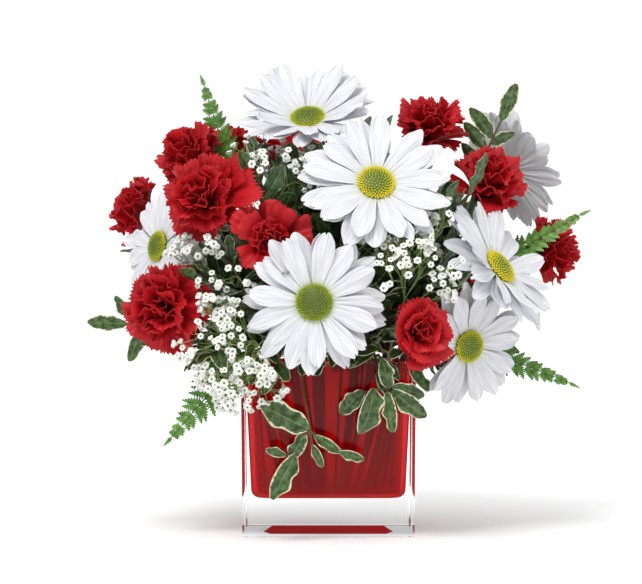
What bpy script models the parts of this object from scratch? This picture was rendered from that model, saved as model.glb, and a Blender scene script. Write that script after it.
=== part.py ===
"""Spray carnations, daisy chrysanthemums, baby's breath and greenery in a square glass vase.

The vase stands on Z = 0 with the origin at the middle of its underside. +Z is up and the
front of the arrangement faces -Y. Every stem starts on the vase's floor, leaves through its
mouth and ends in one flower, frond or sprig. All lengths are in metres.
"""

import math

import bmesh
import bpy
import numpy as np
from mathutils import Vector

MM = 0.001

# The vase: a square block of clear glass with a tapered well, coated red inside.
VASE_WIDTH = 102.0 * MM
VASE_HEIGHT = 102.0 * MM
VASE_DRAFT = 1.0 * MM
BASE_THICKNESS = 22.0 * MM
RIM_WALL = 2.4 * MM
FOOT_WALL = 5.0 * MM
OUTER_CORNER = 2.5 * MM
EDGE_BEVEL = 0.7 * MM
WELL_CORNER = 9.0 * MM
WELL_FLOOR_ROUND = 5.0 * MM
COATING = 0.6 * MM
COATING_BELOW_RIM = 1.5 * MM
CLEARANCE = 0.3 * MM
CORNER_STEPS = 3
# What the coating takes up of the well: its own thickness and the gap behind it.
LINING = CLEARANCE + COATING
# The back right corner of the well holds no stem, so that it can be topped up with water.
POURING_CORNER = 23.0 * MM

# Stems.
DAISY_STEM = 3.6 * MM
CARNATION_STEM = 2.8 * MM
SPRIG_STEM = 2.4 * MM
CLOUD_STEM = 1.8 * MM
STEM_GAP = 0.9 * MM
STEM_RISE = 36.0 * MM
NECK_REACH = 40.0 * MM
PATH_POINTS = 10
SETTLE_ROUNDS = 160

# Daisy chrysanthemums: a whorl of ray petals held between the green cup and the disc.
DAISY_ACROSS = 84.0 * MM
DAISY_PETALS = 16
DISC_ACROSS = 19.0 * MM
DISC_HEIGHT = 4.4 * MM
DISC_NECK = 13.0 * MM
CUP_LENGTH = 9.0 * MM
PETAL_THICKNESS = 0.9 * MM
PETAL_LIFT = 6.0 * MM

# Spray carnations: a ruffled ball of petals standing in a tubular calyx.
CARNATION_ACROSS = 46.0 * MM
CALYX_LENGTH = 18.0 * MM
CALYX_ACROSS = 9.2 * MM
RUFFLES = 7
RUFFLE_DEPTH = 0.07

# Foliage.
LEAF_LENGTH = 26.0 * MM
LEAF_WIDTH = 12.0 * MM
LEAF_THICKNESS = 1.0 * MM
LEAVES = 6
FROND_LENGTH = 70.0 * MM
FROND_WIDTH = 42.0 * MM
FROND_THICKNESS = 1.0 * MM
PINNA_PAIRS = 6

# Baby's breath.
FLORET_ACROSS = 6.0 * MM
TWIG_ACROSS = 1.1 * MM
TWIG_LENGTH = 21.0 * MM
FLORETS = 7

# Where each head stands: (x, y, height above the rim) in mm for the sizes above, the way it
# faces as (degrees round from the front towards +X, degrees above the horizon), and its size
# beside the usual one. The whole bouquet opens up when the vase, flowers or leaves grow.
DAISIES = {
    "daisy_front": ((-8, -84, 34), (-3, 4), 1.00),
    "daisy_high": ((27, -64, 101), (6, 30), 1.08),
    "daisy_top": ((-12, -8, 142), (-8, 52), 1.00),
    "daisy_right": ((98, -42, 53), (56, 33), 1.06),
    "daisy_low_right": ((80, -48, 9), (32, -10), 0.88),
    "daisy_left": ((-100, -2, 67), (-55, 10), 0.87),
    "daisy_back_right": ((112, 44, 116), (125, 25), 0.94),
    "daisy_back_left": ((-62, 80, 56), (-150, 15), 1.00),
    "daisy_back": ((35, 92, 82), (168, 22), 1.02),
}
CARNATIONS = {
    "carnation_top_left": ((-84, 8, 123), (-50, 35), 1.00),
    "carnation_upper_left": ((-73, -50, 95), (-22, 18), 1.06),
    "carnation_centre_left": ((-34, -69, 71), (-5, 15), 0.94),
    "carnation_low_left": ((-95, -62, 31), (-28, -2), 1.10),
    "carnation_low_right": ((51, -94, 18), (25, 2), 0.86),
    "carnation_top": ((62, 8, 143), (5, 55), 0.92),
    "carnation_right": ((97, -9, 109), (30, 45), 0.96),
    "carnation_far_right": ((139, 28, 66), (70, 5), 0.90),
    "carnation_far_left": ((-121, 46, 91), (-95, 20), 0.88),
    "carnation_back_left": ((-62, 62, 124), (-140, 35), 0.96),
    "carnation_back": ((-19, 82, 132), (-175, 35), 0.94),
    "carnation_back_right": ((84, 76, 30), (140, 0), 0.96),
}
# Each of these: where its tip is, the way the tip points, the way its upper side faces, its
# size beside the usual one, and how much further than usual its stem rises before it bends.
SPRIGS = {
    "pittosporum_front": ((-20, -76, -42), (-15, -70), (0, 20), 1.00, 26),
    "pittosporum_low_right": ((32, -76, -16), (12, -60), (10, 30), 0.85, 22),
    "pittosporum_left": ((-134, -24, 20), (-75, 0), (-30, 60), 1.00, 0),
    "pittosporum_top_right": ((112, 18, 158), (60, 60), (20, 50), 1.00, 0),
    "pittosporum_centre": ((14, -52, 62), (10, 25), (0, 40), 0.80, 0),
    "pittosporum_back": ((46, 108, 12), (165, -15), (170, 60), 1.00, 0),
}
FRONDS = {
    "fern_low_left": ((-90, -54, -44), (-45, -58), (-20, 25), 0.90, 26),
    "fern_top_left": ((-76, 24, 166), (-95, 62), (-20, 10), 0.80, 0),
    "fern_right": ((152, 6, 86), (85, 18), (20, 50), 0.85, 0),
    "fern_low_right": ((142, -24, -14), (75, -35), (30, 40), 0.90, 10),
    "fern_back": ((-10, 122, -10), (-175, -35), (180, 50), 1.00, 10),
}
CLOUDS = {
    "gypsophila_low_left": ((-58, -82, 8), (-30, -15), (0, 20), 1.00, 14),
    "gypsophila_upper_left": ((-36, -26, 112), (-20, 50), (0, 20), 0.90, 0),
    "gypsophila_centre_right": ((52, -70, 56), (20, 30), (0, 20), 0.80, 0),
    "gypsophila_left": ((-66, -44, 58), (-40, 25), (0, 20), 0.70, 0),
    "gypsophila_back": ((-8, 108, 52), (178, 20), (180, 20), 0.90, 0),
}
# The sizes that those places were set out for.
SET_OUT_FOR = {
    "vase": (VASE_WIDTH, 102.0 * MM),
    "daisy": (DAISY_ACROSS, 84.0 * MM),
    "carnation": (CARNATION_ACROSS, 46.0 * MM),
    "leaf": (LEAF_LENGTH, 26.0 * MM),
    "frond": (FROND_LENGTH, 70.0 * MM),
}
SPREAD = max(size / usual for size, usual in SET_OUT_FOR.values())

# Colours are linear; roughness and metallic follow.
MATERIALS = {
    "clear_glass": ((0.92, 0.95, 0.95), 0.02, 0.0),
    "red_coating": ((0.42, 0.004, 0.010), 0.25, 0.0),
    "white_petals": ((0.86, 0.87, 0.90), 0.55, 0.0),
    "red_petals": ((0.52, 0.008, 0.016), 0.60, 0.0),
    "green_stem": ((0.12, 0.24, 0.05), 0.50, 0.0),
    "calyx_green": ((0.16, 0.28, 0.14), 0.50, 0.0),
    "variegated_leaf": ((0.17, 0.28, 0.11), 0.45, 0.0),
    "fern_green": ((0.06, 0.20, 0.03), 0.45, 0.0),
    "tiny_white_bloom": ((0.85, 0.88, 0.80), 0.60, 0.0),
}
TINY = 1e-12


# ------------------------------------------------------------------ places and directions


def place_of(at):
    """A table entry's place: millimetres from the middle of the rim, opened up by SPREAD."""
    return Vector(at) * MM * SPREAD + Vector((0, 0, VASE_HEIGHT))


def facing_of(turn_and_tilt):
    """The unit vector (degrees round from -Y towards +X, degrees above the horizon) away."""
    turn, tilt = (math.radians(angle) for angle in turn_and_tilt)
    level = math.cos(tilt)
    return Vector((math.sin(turn) * level, -math.cos(turn) * level, math.sin(tilt)))


def square_to(direction, towards):
    """The unit vector at right angles to a direction that lies nearest to another."""
    return (towards - direction * towards.dot(direction)).normalized()


# -------------------------------------------------------------------- materials and meshes


def material(name):
    """The named Principled material, made once."""
    made = bpy.data.materials.get(name)
    if made is None:
        colour, roughness, metallic = MATERIALS[name]
        made = bpy.data.materials.new(name)
        made.use_nodes = True
        shader = made.node_tree.nodes["Principled BSDF"]
        shader.inputs["Base Color"].default_value = (*colour, 1.0)
        shader.inputs["Roughness"].default_value = roughness
        shader.inputs["Metallic"].default_value = metallic
    return made


def add_object(name, bm, material_name):
    """Links one named object that holds this shape, its faces turned outwards."""
    bmesh.ops.recalc_face_normals(bm, faces=bm.faces)
    mesh = bpy.data.meshes.new(name)
    bm.to_mesh(mesh)
    bm.free()
    mesh.shade_smooth()
    mesh.set_sharp_from_angle(angle=math.radians(40))
    made = bpy.data.objects.new(name, mesh)
    mesh.materials.append(material(material_name))
    bpy.context.scene.collection.objects.link(made)
    return made


def unite(body, growth):
    """Joins a second shape onto the first one as a single solid."""
    growth.hide_render = True
    growth.display_type = "WIRE"
    union = body.modifiers.new("Union", "BOOLEAN")
    union.operation = "UNION"
    union.solver = "EXACT"
    union.use_self = True
    union.object = growth


def loft(bm, rings):
    """Adds a closed shell through rings of points, with a flat cap over each end ring."""
    rows = [[bm.verts.new(point) for point in ring] for ring in rings]
    for lower, upper in zip(rows, rows[1:]):
        for here, there in zip(range(len(lower)), range(1 - len(lower), 1)):
            bm.faces.new((lower[here], lower[there], upper[there], upper[here]))
    bm.faces.new(rows[0])
    bm.faces.new(rows[-1])


def thicken(bm, faces, thickness):
    """Turns a sheet of faces into a closed slab."""
    grown = bmesh.ops.extrude_face_region(bm, geom=faces, use_keep_orig=True)["geom"]
    new = [item for item in grown if isinstance(item, bmesh.types.BMVert)]
    bmesh.ops.translate(bm, vec=thickness, verts=new)


def tube(bm, stations, sides):
    """Adds a closed round tube through stations of (centre, direction, radius)."""
    rings = []
    side = stations[0][1].orthogonal()
    for centre, along, radius in stations:
        side = square_to(along, side)
        other = along.cross(side)
        turns = [math.tau * step / sides for step in range(sides)]
        rings.append(
            [centre + (side * math.cos(t) + other * math.sin(t)) * radius for t in turns]
        )
    loft(bm, rings)


def stations_along(path, first_radius, last_radius):
    """Tube stations along a path of points whose radius changes evenly."""
    steps = [(b - a).normalized() for a, b in zip(path, path[1:])]
    steps = [steps[0], *steps, steps[-1]]
    found = []
    for i, point in enumerate(path):
        share = i / (len(path) - 1)
        radius = first_radius + (last_radius - first_radius) * share
        found.append((point, (steps[i] + steps[i + 1]).normalized(), radius))
    return found


# ----------------------------------------------------------------------------- the vase


def square_ring(height, half, corner):
    """The points round a square of this half width whose corners have this radius."""
    points = []
    for quarter in range(4):
        diagonal = math.radians(45 + 90 * quarter)
        reach = math.sqrt(2) * (half - corner)
        middle = Vector((math.cos(diagonal) * reach, math.sin(diagonal) * reach, height))
        for step in range(CORNER_STEPS + 1):
            angle = math.radians(90 * (quarter + step / CORNER_STEPS))
            points.append(middle + Vector((math.cos(angle), math.sin(angle), 0)) * corner)
    return points


def well_half(height):
    """Half the width of the glass well at a height."""
    share = (height - BASE_THICKNESS) / (VASE_HEIGHT - BASE_THICKNESS)
    foot = VASE_WIDTH / 2 - VASE_DRAFT - FOOT_WALL
    mouth = VASE_WIDTH / 2 - RIM_WALL
    return foot + (mouth - foot) * share


def well_rings(inset, top):
    """The well's rings from its floor up to a height, with every surface brought in a little."""
    round_at = BASE_THICKNESS + WELL_FLOOR_ROUND
    wall = well_half(round_at) - inset
    radius = WELL_FLOOR_ROUND - inset
    rings = []
    for degrees in (0, 45, 90):
        angle = math.radians(degrees)
        drawn_in = radius * (1 - math.sin(angle))
        height = round_at - radius * math.cos(angle)
        rings.append(square_ring(height, wall - drawn_in, WELL_CORNER - inset - drawn_in))
    rings.append(square_ring(top, well_half(top) - inset, WELL_CORNER - inset))
    return rings


def build_vase():
    """The glass block, and the coating that lines its well."""
    foot = VASE_WIDTH / 2 - VASE_DRAFT
    rim = VASE_WIDTH / 2
    eased = OUTER_CORNER - EDGE_BEVEL
    outside = [
        square_ring(0, foot - EDGE_BEVEL, eased),
        square_ring(EDGE_BEVEL, foot, OUTER_CORNER),
        square_ring(VASE_HEIGHT - EDGE_BEVEL, rim, OUTER_CORNER),
        square_ring(VASE_HEIGHT, rim - EDGE_BEVEL, eased),
    ]
    glass = bmesh.new()
    loft(glass, outside + well_rings(0, VASE_HEIGHT)[::-1])
    add_object("vase_glass", glass, "clear_glass")

    coating = bmesh.new()
    top = VASE_HEIGHT - COATING_BELOW_RIM
    outer = well_rings(CLEARANCE, top)
    inner = well_rings(CLEARANCE + COATING, top)
    loft(coating, outer + inner[::-1])
    add_object("vase_red_coating", coating, "red_coating")


# ----------------------------------------------------------- stems: laid out, then settled


class Stem:
    """One stem: its radius, its path, and the solid shapes of its head that others avoid."""

    def __init__(self, name, radius, head_base, axis, rise=0.0, reach=NECK_REACH):
        self.name = name
        self.radius = radius
        self.blocks = []
        self.whorl = None
        level = Vector((head_base.x, head_base.y, 0))
        share = min(level.length / (150 * MM * SPREAD), 1.0)
        foot = level.normalized() * share * (VASE_WIDTH / 2 - VASE_DRAFT - FOOT_WALL)
        foot.z = BASE_THICKNESS + LINING + CLEARANCE + radius
        over = Vector((foot.x * 1.15, foot.y * 1.15, VASE_HEIGHT + STEM_RISE + rise))
        before = head_base - axis * reach
        self.path = [
            self.between(foot, over, before, head_base, i / (PATH_POINTS - 1))
            for i in range(PATH_POINTS)
        ]

    @staticmethod
    def between(a, b, c, d, t):
        """The point at share t of the cubic Bezier curve through a, b, c and d."""
        s = 1 - t
        return a * s**3 + b * (3 * s * s * t) + c * (3 * s * t * t) + d * t**3


def closest_shares(p, q, r, s):
    """For pairs of segments p-q and r-s, how far along each its closest point lies."""
    one, other, offset = q - p, s - r, p - r
    a = (one * one).sum(-1) + TINY
    b = (one * other).sum(-1)
    c = (one * offset).sum(-1)
    e = (other * other).sum(-1) + TINY
    f = (other * offset).sum(-1)
    first = np.clip((b * f - c * e) / np.maximum(a * e - b * b, TINY), 0, 1)
    second = np.clip((b * first + f) / e, 0, 1)
    return np.clip((b * second - c) / a, 0, 1), second


def push_apart(points, radii, owners, blocks):
    """How each path point moves so that no stem comes too near another stem or a head."""
    count, length = points.shape[:2]
    starts = points[:, :-1].reshape(-1, 3)
    ends = points[:, 1:].reshape(-1, 3)
    all_starts = np.concatenate([starts, blocks["start"]])
    all_ends = np.concatenate([ends, blocks["end"]])
    owner = np.concatenate([owners, blocks["owner"]])
    radius = np.concatenate([radii, blocks["radius"]])
    first, second = np.triu_indices(len(all_starts), 1)
    apart = (owner[first] != owner[second]) & (first < len(starts))
    first, second = first[apart], second[apart]
    t, u = closest_shares(all_starts[first], all_ends[first], all_starts[second], all_ends[second])
    near = all_starts[first] * (1 - t)[:, None] + all_ends[first] * t[:, None]
    far = all_starts[second] * (1 - u)[:, None] + all_ends[second] * u[:, None]
    gap = near - far
    distance = np.sqrt((gap * gap).sum(-1)) + TINY
    lack = radius[first] + radius[second] + STEM_GAP - distance
    close = lack > 0
    first, second, t, u = first[close], second[close], t[close], u[close]
    push = gap[close] * (lack[close] / distance[close])[:, None]
    fixed = second >= len(starts)
    half = np.where(fixed, 1.0, 0.5)[:, None]
    move = np.zeros((count * length, 3))
    for segment, share, sign in ((first, t, 1.0), (second, u, -1.0)):
        free = segment < len(starts)
        row, step = np.divmod(segment[free], length - 1)
        weight = share[free][:, None]
        even = (1 - weight) ** 2 + weight**2
        amount = sign * push[free] * half[free] / even
        np.add.at(move, row * length + step, amount * (1 - weight))
        np.add.at(move, row * length + step + 1, amount * weight)
    return move.reshape(points.shape)


def push_behind(points, radii, stems):
    """How each path point moves so that stems pass behind the other daisies' petals."""
    move = np.zeros_like(points)
    for index, stem in enumerate(stems):
        if stem.whorl is None:
            continue
        centre, axis, across = stem.whorl
        offset = points - np.array(centre)
        height = offset @ np.array(axis)
        level = offset - height[..., None] * np.array(axis)
        radius = np.sqrt((level * level).sum(-1))
        lack = height - whorl_height(radius, across) + radii[:, None] + 2 * STEM_GAP
        near = (lack > 0) & (lack < 30 * MM) & (radius < across / 2 + 4 * MM)
        near[index] = False
        move -= np.where(near, np.minimum(lack, 3 * MM), 0)[..., None] * np.array(axis)
    return move


def keep_in_well(points, radii):
    """Holds the points below the rim in the well, and those past the bend outside the vase."""
    top = points[..., 2].argmax(axis=1)
    for row, path in enumerate(points):
        for step, point in enumerate(path):
            room = radii[row] + 0.4 * MM
            if step <= top[row] and point[2] < VASE_HEIGHT + 6 * MM:
                limit = well_half(min(point[2], VASE_HEIGHT)) - LINING - room
                if step == 0:
                    limit -= WELL_FLOOR_ROUND
                np.clip(point[:2], -limit, limit, out=point[:2])
                corner = limit - (WELL_CORNER - LINING - room)
                past = np.maximum(np.abs(point[:2]) - corner, 0)
                reach = math.hypot(*past)
                if reach > limit - corner and past.all():
                    point[:2] = np.sign(point[:2]) * (corner + past * (limit - corner) / reach)
                free = limit - POURING_CORNER
                if point[0] > free and point[1] > free:
                    nearer = int(point[1] < point[0])
                    point[nearer] = free
            elif step > top[row] and point[2] < VASE_HEIGHT + 2 * MM:
                limit = VASE_WIDTH / 2 + room + 2 * MM
                widest = int(abs(point[1]) > abs(point[0]))
                if abs(point[widest]) < limit:
                    point[widest] = math.copysign(limit, point[widest])


def push_over_rim(points, radii):
    """How each path point rises so that no stem passes through the rim on its way out."""
    move = np.zeros_like(points)
    room = radii[:, None] + 1.2 * MM
    inner = well_half(VASE_HEIGHT) - LINING - radii[:, None] - 0.2 * MM
    for share in np.linspace(0, 1, 9):
        on = points[:, :-1] * (1 - share) + points[:, 1:] * share
        widest = np.abs(on[..., :2]).max(axis=-1)
        lack = VASE_HEIGHT + room - on[..., 2]
        through = (widest > inner) & (widest < VASE_WIDTH / 2 + room)
        lift = np.where(through & (lack > 0) & (lack < 30 * MM), lack, 0) * 0.6
        move[:, :-1, 2] = np.maximum(move[:, :-1, 2], lift)
        move[:, 1:, 2] = np.maximum(move[:, 1:, 2], lift)
    return move


def settle(stems):
    """Eases the stems past each other: their necks stay put, and the rest gives way."""
    points = np.array([[tuple(point) for point in stem.path] for stem in stems])
    radii = np.array([stem.radius for stem in stems])
    solid = [(start, end, radius, i) for i, stem in enumerate(stems)
             for start, end, radius in stem.blocks]
    blocks = {
        "start": np.array([tuple(block[0]) for block in solid]),
        "end": np.array([tuple(block[1]) for block in solid]),
        "radius": np.array([block[2] for block in solid]),
        "owner": np.array([block[3] for block in solid]),
    }
    owners = np.repeat(np.arange(len(stems)), PATH_POINTS - 1)
    for turn in range(SETTLE_ROUNDS):
        move = push_apart(points, np.repeat(radii, PATH_POINTS - 1), owners, blocks)
        move += push_behind(points, radii, stems)
        move += push_over_rim(points, radii)
        if turn < SETTLE_ROUNDS * 3 // 4:
            bend = points[:, :-2] + points[:, 2:] - 2 * points[:, 1:-1]
            move[:, 1:-1] += 0.12 * bend
        move[:, -2:] = 0
        move[:, 0, 2] = 0
        points += np.clip(move, -4 * MM, 4 * MM)
        keep_in_well(points, radii)
    for stem, path in zip(stems, points):
        stem.path = [Vector(point) for point in path]


# ----------------------------------------------------------------------------- daisies


def whorl_height(radius, across):
    """How far the petals have lifted above the hub at this distance from the axis."""
    hub = DISC_NECK / 2 + CLEARANCE
    share = np.clip((radius - hub) / (across / 2 - hub), 0, 1.2)
    return PETAL_LIFT * (across / DAISY_ACROSS) * share**1.3


def daisy_stem(name, centre, axis, size):
    """The stem of one daisy, with the room that its cup, disc and petals take."""
    stem = Stem(name, DAISY_STEM / 2, centre - axis * CUP_LENGTH, axis)
    stem.blocks.append((stem.path[-1], centre + axis * DISC_HEIGHT, DISC_ACROSS / 2))
    stem.whorl = (centre, axis, DAISY_ACROSS * size)
    return stem


def build_daisy(stem):
    """One daisy: the stem with its cup and disc as one piece, the ring of petals as another."""
    centre, axis, across = stem.whorl
    disc = DISC_ACROSS / 2
    neck = DISC_NECK / 2
    cup = disc * 0.84
    under = PETAL_THICKNESS + CLEARANCE + float(whorl_height(disc, across))
    profile = (
        (-CUP_LENGTH * 0.55, cup * 0.62),
        (-CLEARANCE, cup),
        (-CLEARANCE, neck),
        (under, neck),
        (under, disc),
        (under + DISC_HEIGHT * 0.35, disc * 0.98),
        (under + DISC_HEIGHT * 0.8, disc * 0.66),
        (under + DISC_HEIGHT, disc * 0.22),
    )
    body = bmesh.new()
    stations = stations_along(stem.path, stem.radius, stem.radius)
    stations += [(centre + axis * height, axis, radius) for height, radius in profile]
    tube(body, stations, 7)
    add_object(stem.name + "_stem_and_disc", body, "green_stem")

    petals = bmesh.new()
    side = square_to(axis, Vector((0, 0, 1)) + axis * 0.01)
    other = axis.cross(side)

    def corner(radius, turn):
        lift = float(whorl_height(radius, across))
        level = side * math.cos(turn) + other * math.sin(turn)
        return petals.verts.new(centre + level * radius + axis * lift)

    pitch = math.tau / DAISY_PETALS
    hub = [corner(neck + CLEARANCE, pitch * i) for i in range(DAISY_PETALS)]
    cleft = [corner(across * 0.23, pitch * i) for i in range(DAISY_PETALS)]
    for i in range(DAISY_PETALS):
        j = (i + 1) % DAISY_PETALS
        length = across / 2 * (1 - 0.06 * (i % 2))
        left = corner(length, pitch * (i + 0.2))
        right = corner(length, pitch * (i + 0.8))
        petals.faces.new((hub[i], hub[j], cleft[j], cleft[i]))
        petals.faces.new((cleft[i], cleft[j], right, left))
    thicken(petals, petals.faces[:], axis * PETAL_THICKNESS)
    add_object(stem.name + "_petals", petals, "white_petals")


# -------------------------------------------------------------------------- carnations


def carnation_stem(name, centre, axis, size):
    """The stem of one carnation, with the room that its calyx and petals take."""
    ball = CARNATION_ACROSS / 2 * size
    calyx_top = centre - axis * (0.7 * ball + CLEARANCE)
    stem = Stem(name, CARNATION_STEM / 2, calyx_top - axis * CALYX_LENGTH, axis)
    stem.ball = ball
    stem.axis = axis
    stem.calyx_top = calyx_top
    stem.blocks.append((stem.path[-1], calyx_top, CALYX_ACROSS / 2))
    stem.blocks.append((centre, centre, ball * (1 + RUFFLE_DEPTH)))
    return stem


def build_carnation(stem):
    """One carnation: the stem with its calyx as one piece, the ball of petals as another."""
    axis = stem.axis
    calyx = CALYX_ACROSS / 2
    profile = ((0.88, calyx * 0.78), (0.4, calyx * 0.9), (0.0, calyx))
    body = bmesh.new()
    stations = stations_along(stem.path, stem.radius, stem.radius)
    stations += [
        (stem.calyx_top - axis * CALYX_LENGTH * share, axis, radius)
        for share, radius in profile
    ]
    tube(body, stations, 6)
    add_object(stem.name + "_stem_and_calyx", body, "calyx_green")

    ball = bmesh.new()
    side = axis.orthogonal().normalized()
    other = axis.cross(side)
    base = stem.calyx_top + axis * CLEARANCE
    outline = ((0.19, 0.0), (0.62, 0.16), (0.97, 0.48), (1.0, 0.80), (0.78, 1.12), (0.4, 1.32))
    rings = []
    for level, (wide, high) in enumerate(outline):
        points = []
        for step in range(2 * RUFFLES):
            turn = math.pi * step / RUFFLES
            wave = 1 + RUFFLE_DEPTH * (-1) ** (step + level)
            out = (side * math.cos(turn) + other * math.sin(turn)) * (stem.ball * wide * wave)
            points.append(base + out + axis * stem.ball * high)
        rings.append(points)
    loft(ball, rings)
    add_object(stem.name + "_petals", ball, "red_petals")


# ----------------------------------------------------------------------------- greenery


def greenery_stem(name, radius, reach, entry):
    """The stem of one sprig, frond or cloud, which runs right to its tip."""
    at, heading, up, size, rise = entry
    stem = Stem(name, radius, place_of(at), facing_of(heading), rise * MM, reach * size)
    stem.size = size
    stem.up = facing_of(up)
    return stem


def point_back(path, distance):
    """The point and the direction this far back from a path's end."""
    for near, far in zip(path[::-1], path[-2::-1]):
        step = near - far
        if distance <= step.length or far is path[0]:
            along = step.normalized()
            return near - along * distance, along
        distance -= step.length
    return path[0], Vector((0, 0, 1))


def leaf(bm, base, along, up, length, width):
    """Adds one thin leaf blade, narrow at both ends and bent back a little."""
    side = along.cross(up).normalized()
    up = side.cross(along)
    outline = ((0.0, 0.1, 0.0), (0.38, 0.46, 0.06), (0.76, 0.4, 0.05), (1.0, 0.07, -0.04))
    rows = []
    for forward, half, lift in outline:
        middle = base + along * length * forward + up * length * lift
        rows.append([bm.verts.new(middle + side * width * half * s) for s in (-1, 1)])
    sheet = [bm.faces.new((a, b, d, c)) for (a, b), (c, d) in zip(rows, rows[1:])]
    thicken(bm, sheet, up * LEAF_THICKNESS)


def build_sprig(stem):
    """A twig of small variegated leaves, all on its upper side."""
    twig = bmesh.new()
    tube(twig, stations_along(stem.path, stem.radius, stem.radius * 0.6), 5)
    body = add_object(stem.name, twig, "variegated_leaf")
    leaves = bmesh.new()
    for i in range(LEAVES):
        distance = (2 + 7.5 * i) * MM * stem.size
        base, along = point_back(stem.path, distance)
        up = square_to(along, stem.up)
        side = along.cross(up)
        turn = math.radians((-1) ** i * (12 if i == 0 else 62 + 14 * (i % 3)))
        out = up * math.cos(turn) + side * math.sin(turn)
        lean = math.radians(20 if i == 0 else 52)
        towards = along * math.cos(lean) + out * math.sin(lean)
        start = base + up * LEAF_THICKNESS * -0.5
        size = stem.size * (1.0 - 0.12 * (i % 2))
        leaf(leaves, start, towards, up, LEAF_LENGTH * size, LEAF_WIDTH * size)
    unite(body, add_object(stem.name + "_leaves", leaves, "variegated_leaf"))


def build_frond(stem):
    """A fern frond: a flat midrib with narrow pinnae that shorten towards the tip."""
    length = FROND_LENGTH * stem.size
    cut = [point for point in stem.path if (point - stem.path[-1]).length > length]
    joint, along = point_back(stem.path, length)
    rachis = bmesh.new()
    tube(rachis, stations_along([*cut, joint], stem.radius, stem.radius * 0.8), 5)
    body = add_object(stem.name, rachis, "fern_green")

    blade = bmesh.new()
    rows = []
    for i in range(2 * PINNA_PAIRS + 2):
        share = i / (2 * PINNA_PAIRS + 1)
        back = length * (1 - share) + (4 * MM if i == 0 else 0)
        middle, along = point_back(stem.path, back)
        up = square_to(along, stem.up)
        side = along.cross(up)
        half = stem.radius * (0.45 if i == 0 else 0.75 - 0.4 * share)
        middle = middle - up * FROND_THICKNESS / 2
        corners = [blade.verts.new(middle + side * half * s) for s in (-1, 1)]
        rows.append((corners, along, side, up, share))
    for step, (row, after) in enumerate(zip(rows, rows[1:])):
        (a, b), along, side, up, share = row
        c, d = after[0]
        blade.faces.new((a, b, d, c))
        if step % 2 == 0:
            continue
        width = FROND_WIDTH / 2 * stem.size * (1 - 0.8 * share) * min(1, 0.75 + share)
        for near, far, sign in ((a, c, -1), (b, d, 1)):
            grown = (side * sign + along * 0.45).normalized() * width
            waist = [blade.verts.new(v.co + grown * 0.5) for v in (near, far)]
            waist[0].co -= along * 0.4 * MM
            tip = [blade.verts.new(v.co.lerp(w.co, 0.3) + grown - up * 1.5 * MM)
                   for v, w in ((near, far), (far, near))]
            blade.faces.new((near, far, waist[1], waist[0]))
            blade.faces.new((waist[0], waist[1], tip[1], tip[0]))
    thicken(blade, blade.faces[:], stem.up * FROND_THICKNESS)
    unite(body, add_object(stem.name + "_blade", blade, "fern_green"))


def build_cloud(stem):
    """A spray of baby's breath: fine twigs off the stem's end, each with one tiny bloom."""
    stalk = bmesh.new()
    tube(stalk, stations_along(stem.path, stem.radius, TWIG_ACROSS / 2), 5)
    body = add_object(stem.name, stalk, "tiny_white_bloom")
    twigs = bmesh.new()
    for i in range(FLORETS):
        base, along = point_back(stem.path, (0.2 + 4.2 * i) * MM * stem.size)
        up = square_to(along, stem.up)
        side = along.cross(up)
        turn = i * 2.4
        lean = math.radians(8 if i == 0 else 48 + 6 * (i % 3))
        out = up * math.cos(turn) + side * math.sin(turn)
        towards = (along * math.cos(lean) + out * math.sin(lean)).normalized()
        reach = TWIG_LENGTH * stem.size * (0.5 if i == 0 else 0.8 + 0.1 * (i % 3))
        end = base + towards * reach
        tube(twigs, stations_along([base, end], TWIG_ACROSS / 2, TWIG_ACROSS / 2), 3)
        made = bmesh.ops.create_icosphere(twigs, subdivisions=1, radius=FLORET_ACROSS / 2)
        bmesh.ops.translate(twigs, vec=end, verts=made["verts"])
    unite(body, add_object(stem.name + "_twigs", twigs, "tiny_white_bloom"))


# ------------------------------------------------------------------------- the whole


def main():
    """Clears the scene, lays out and settles every stem, then builds each piece."""
    for old in list(bpy.data.objects):
        bpy.data.objects.remove(old)
    build_vase()
    work = []
    for name, (at, facing, size) in DAISIES.items():
        stem = daisy_stem(name, place_of(at), facing_of(facing), size)
        work.append((stem, build_daisy))
    for name, (at, facing, size) in CARNATIONS.items():
        stem = carnation_stem(name, place_of(at), facing_of(facing), size)
        work.append((stem, build_carnation))
    for name, entry in SPRIGS.items():
        work.append((greenery_stem(name, SPRIG_STEM / 2, 62 * MM, entry), build_sprig))
    for name, entry in FRONDS.items():
        work.append((greenery_stem(name, SPRIG_STEM / 2, FROND_LENGTH, entry), build_frond))
    for name, entry in CLOUDS.items():
        work.append((greenery_stem(name, CLOUD_STEM / 2, 45 * MM, entry), build_cloud))
    settle([stem for stem, _ in work])
    for stem, build in work:
        build(stem)


main()
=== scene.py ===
"""White daisy chrysanthemums, red spray carnations, baby's breath and greenery in a glass cube.

Every stem follows its solid in the packed frame, and every head sits where its solid sits.
All lengths are in metres, +Z is up and the front of the arrangement faces -Y.
"""

import math
import random

import bmesh
import bpy
from bpy.props import FloatProperty, FloatVectorProperty, IntProperty, PointerProperty
from mathutils import Matrix, Vector


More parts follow.
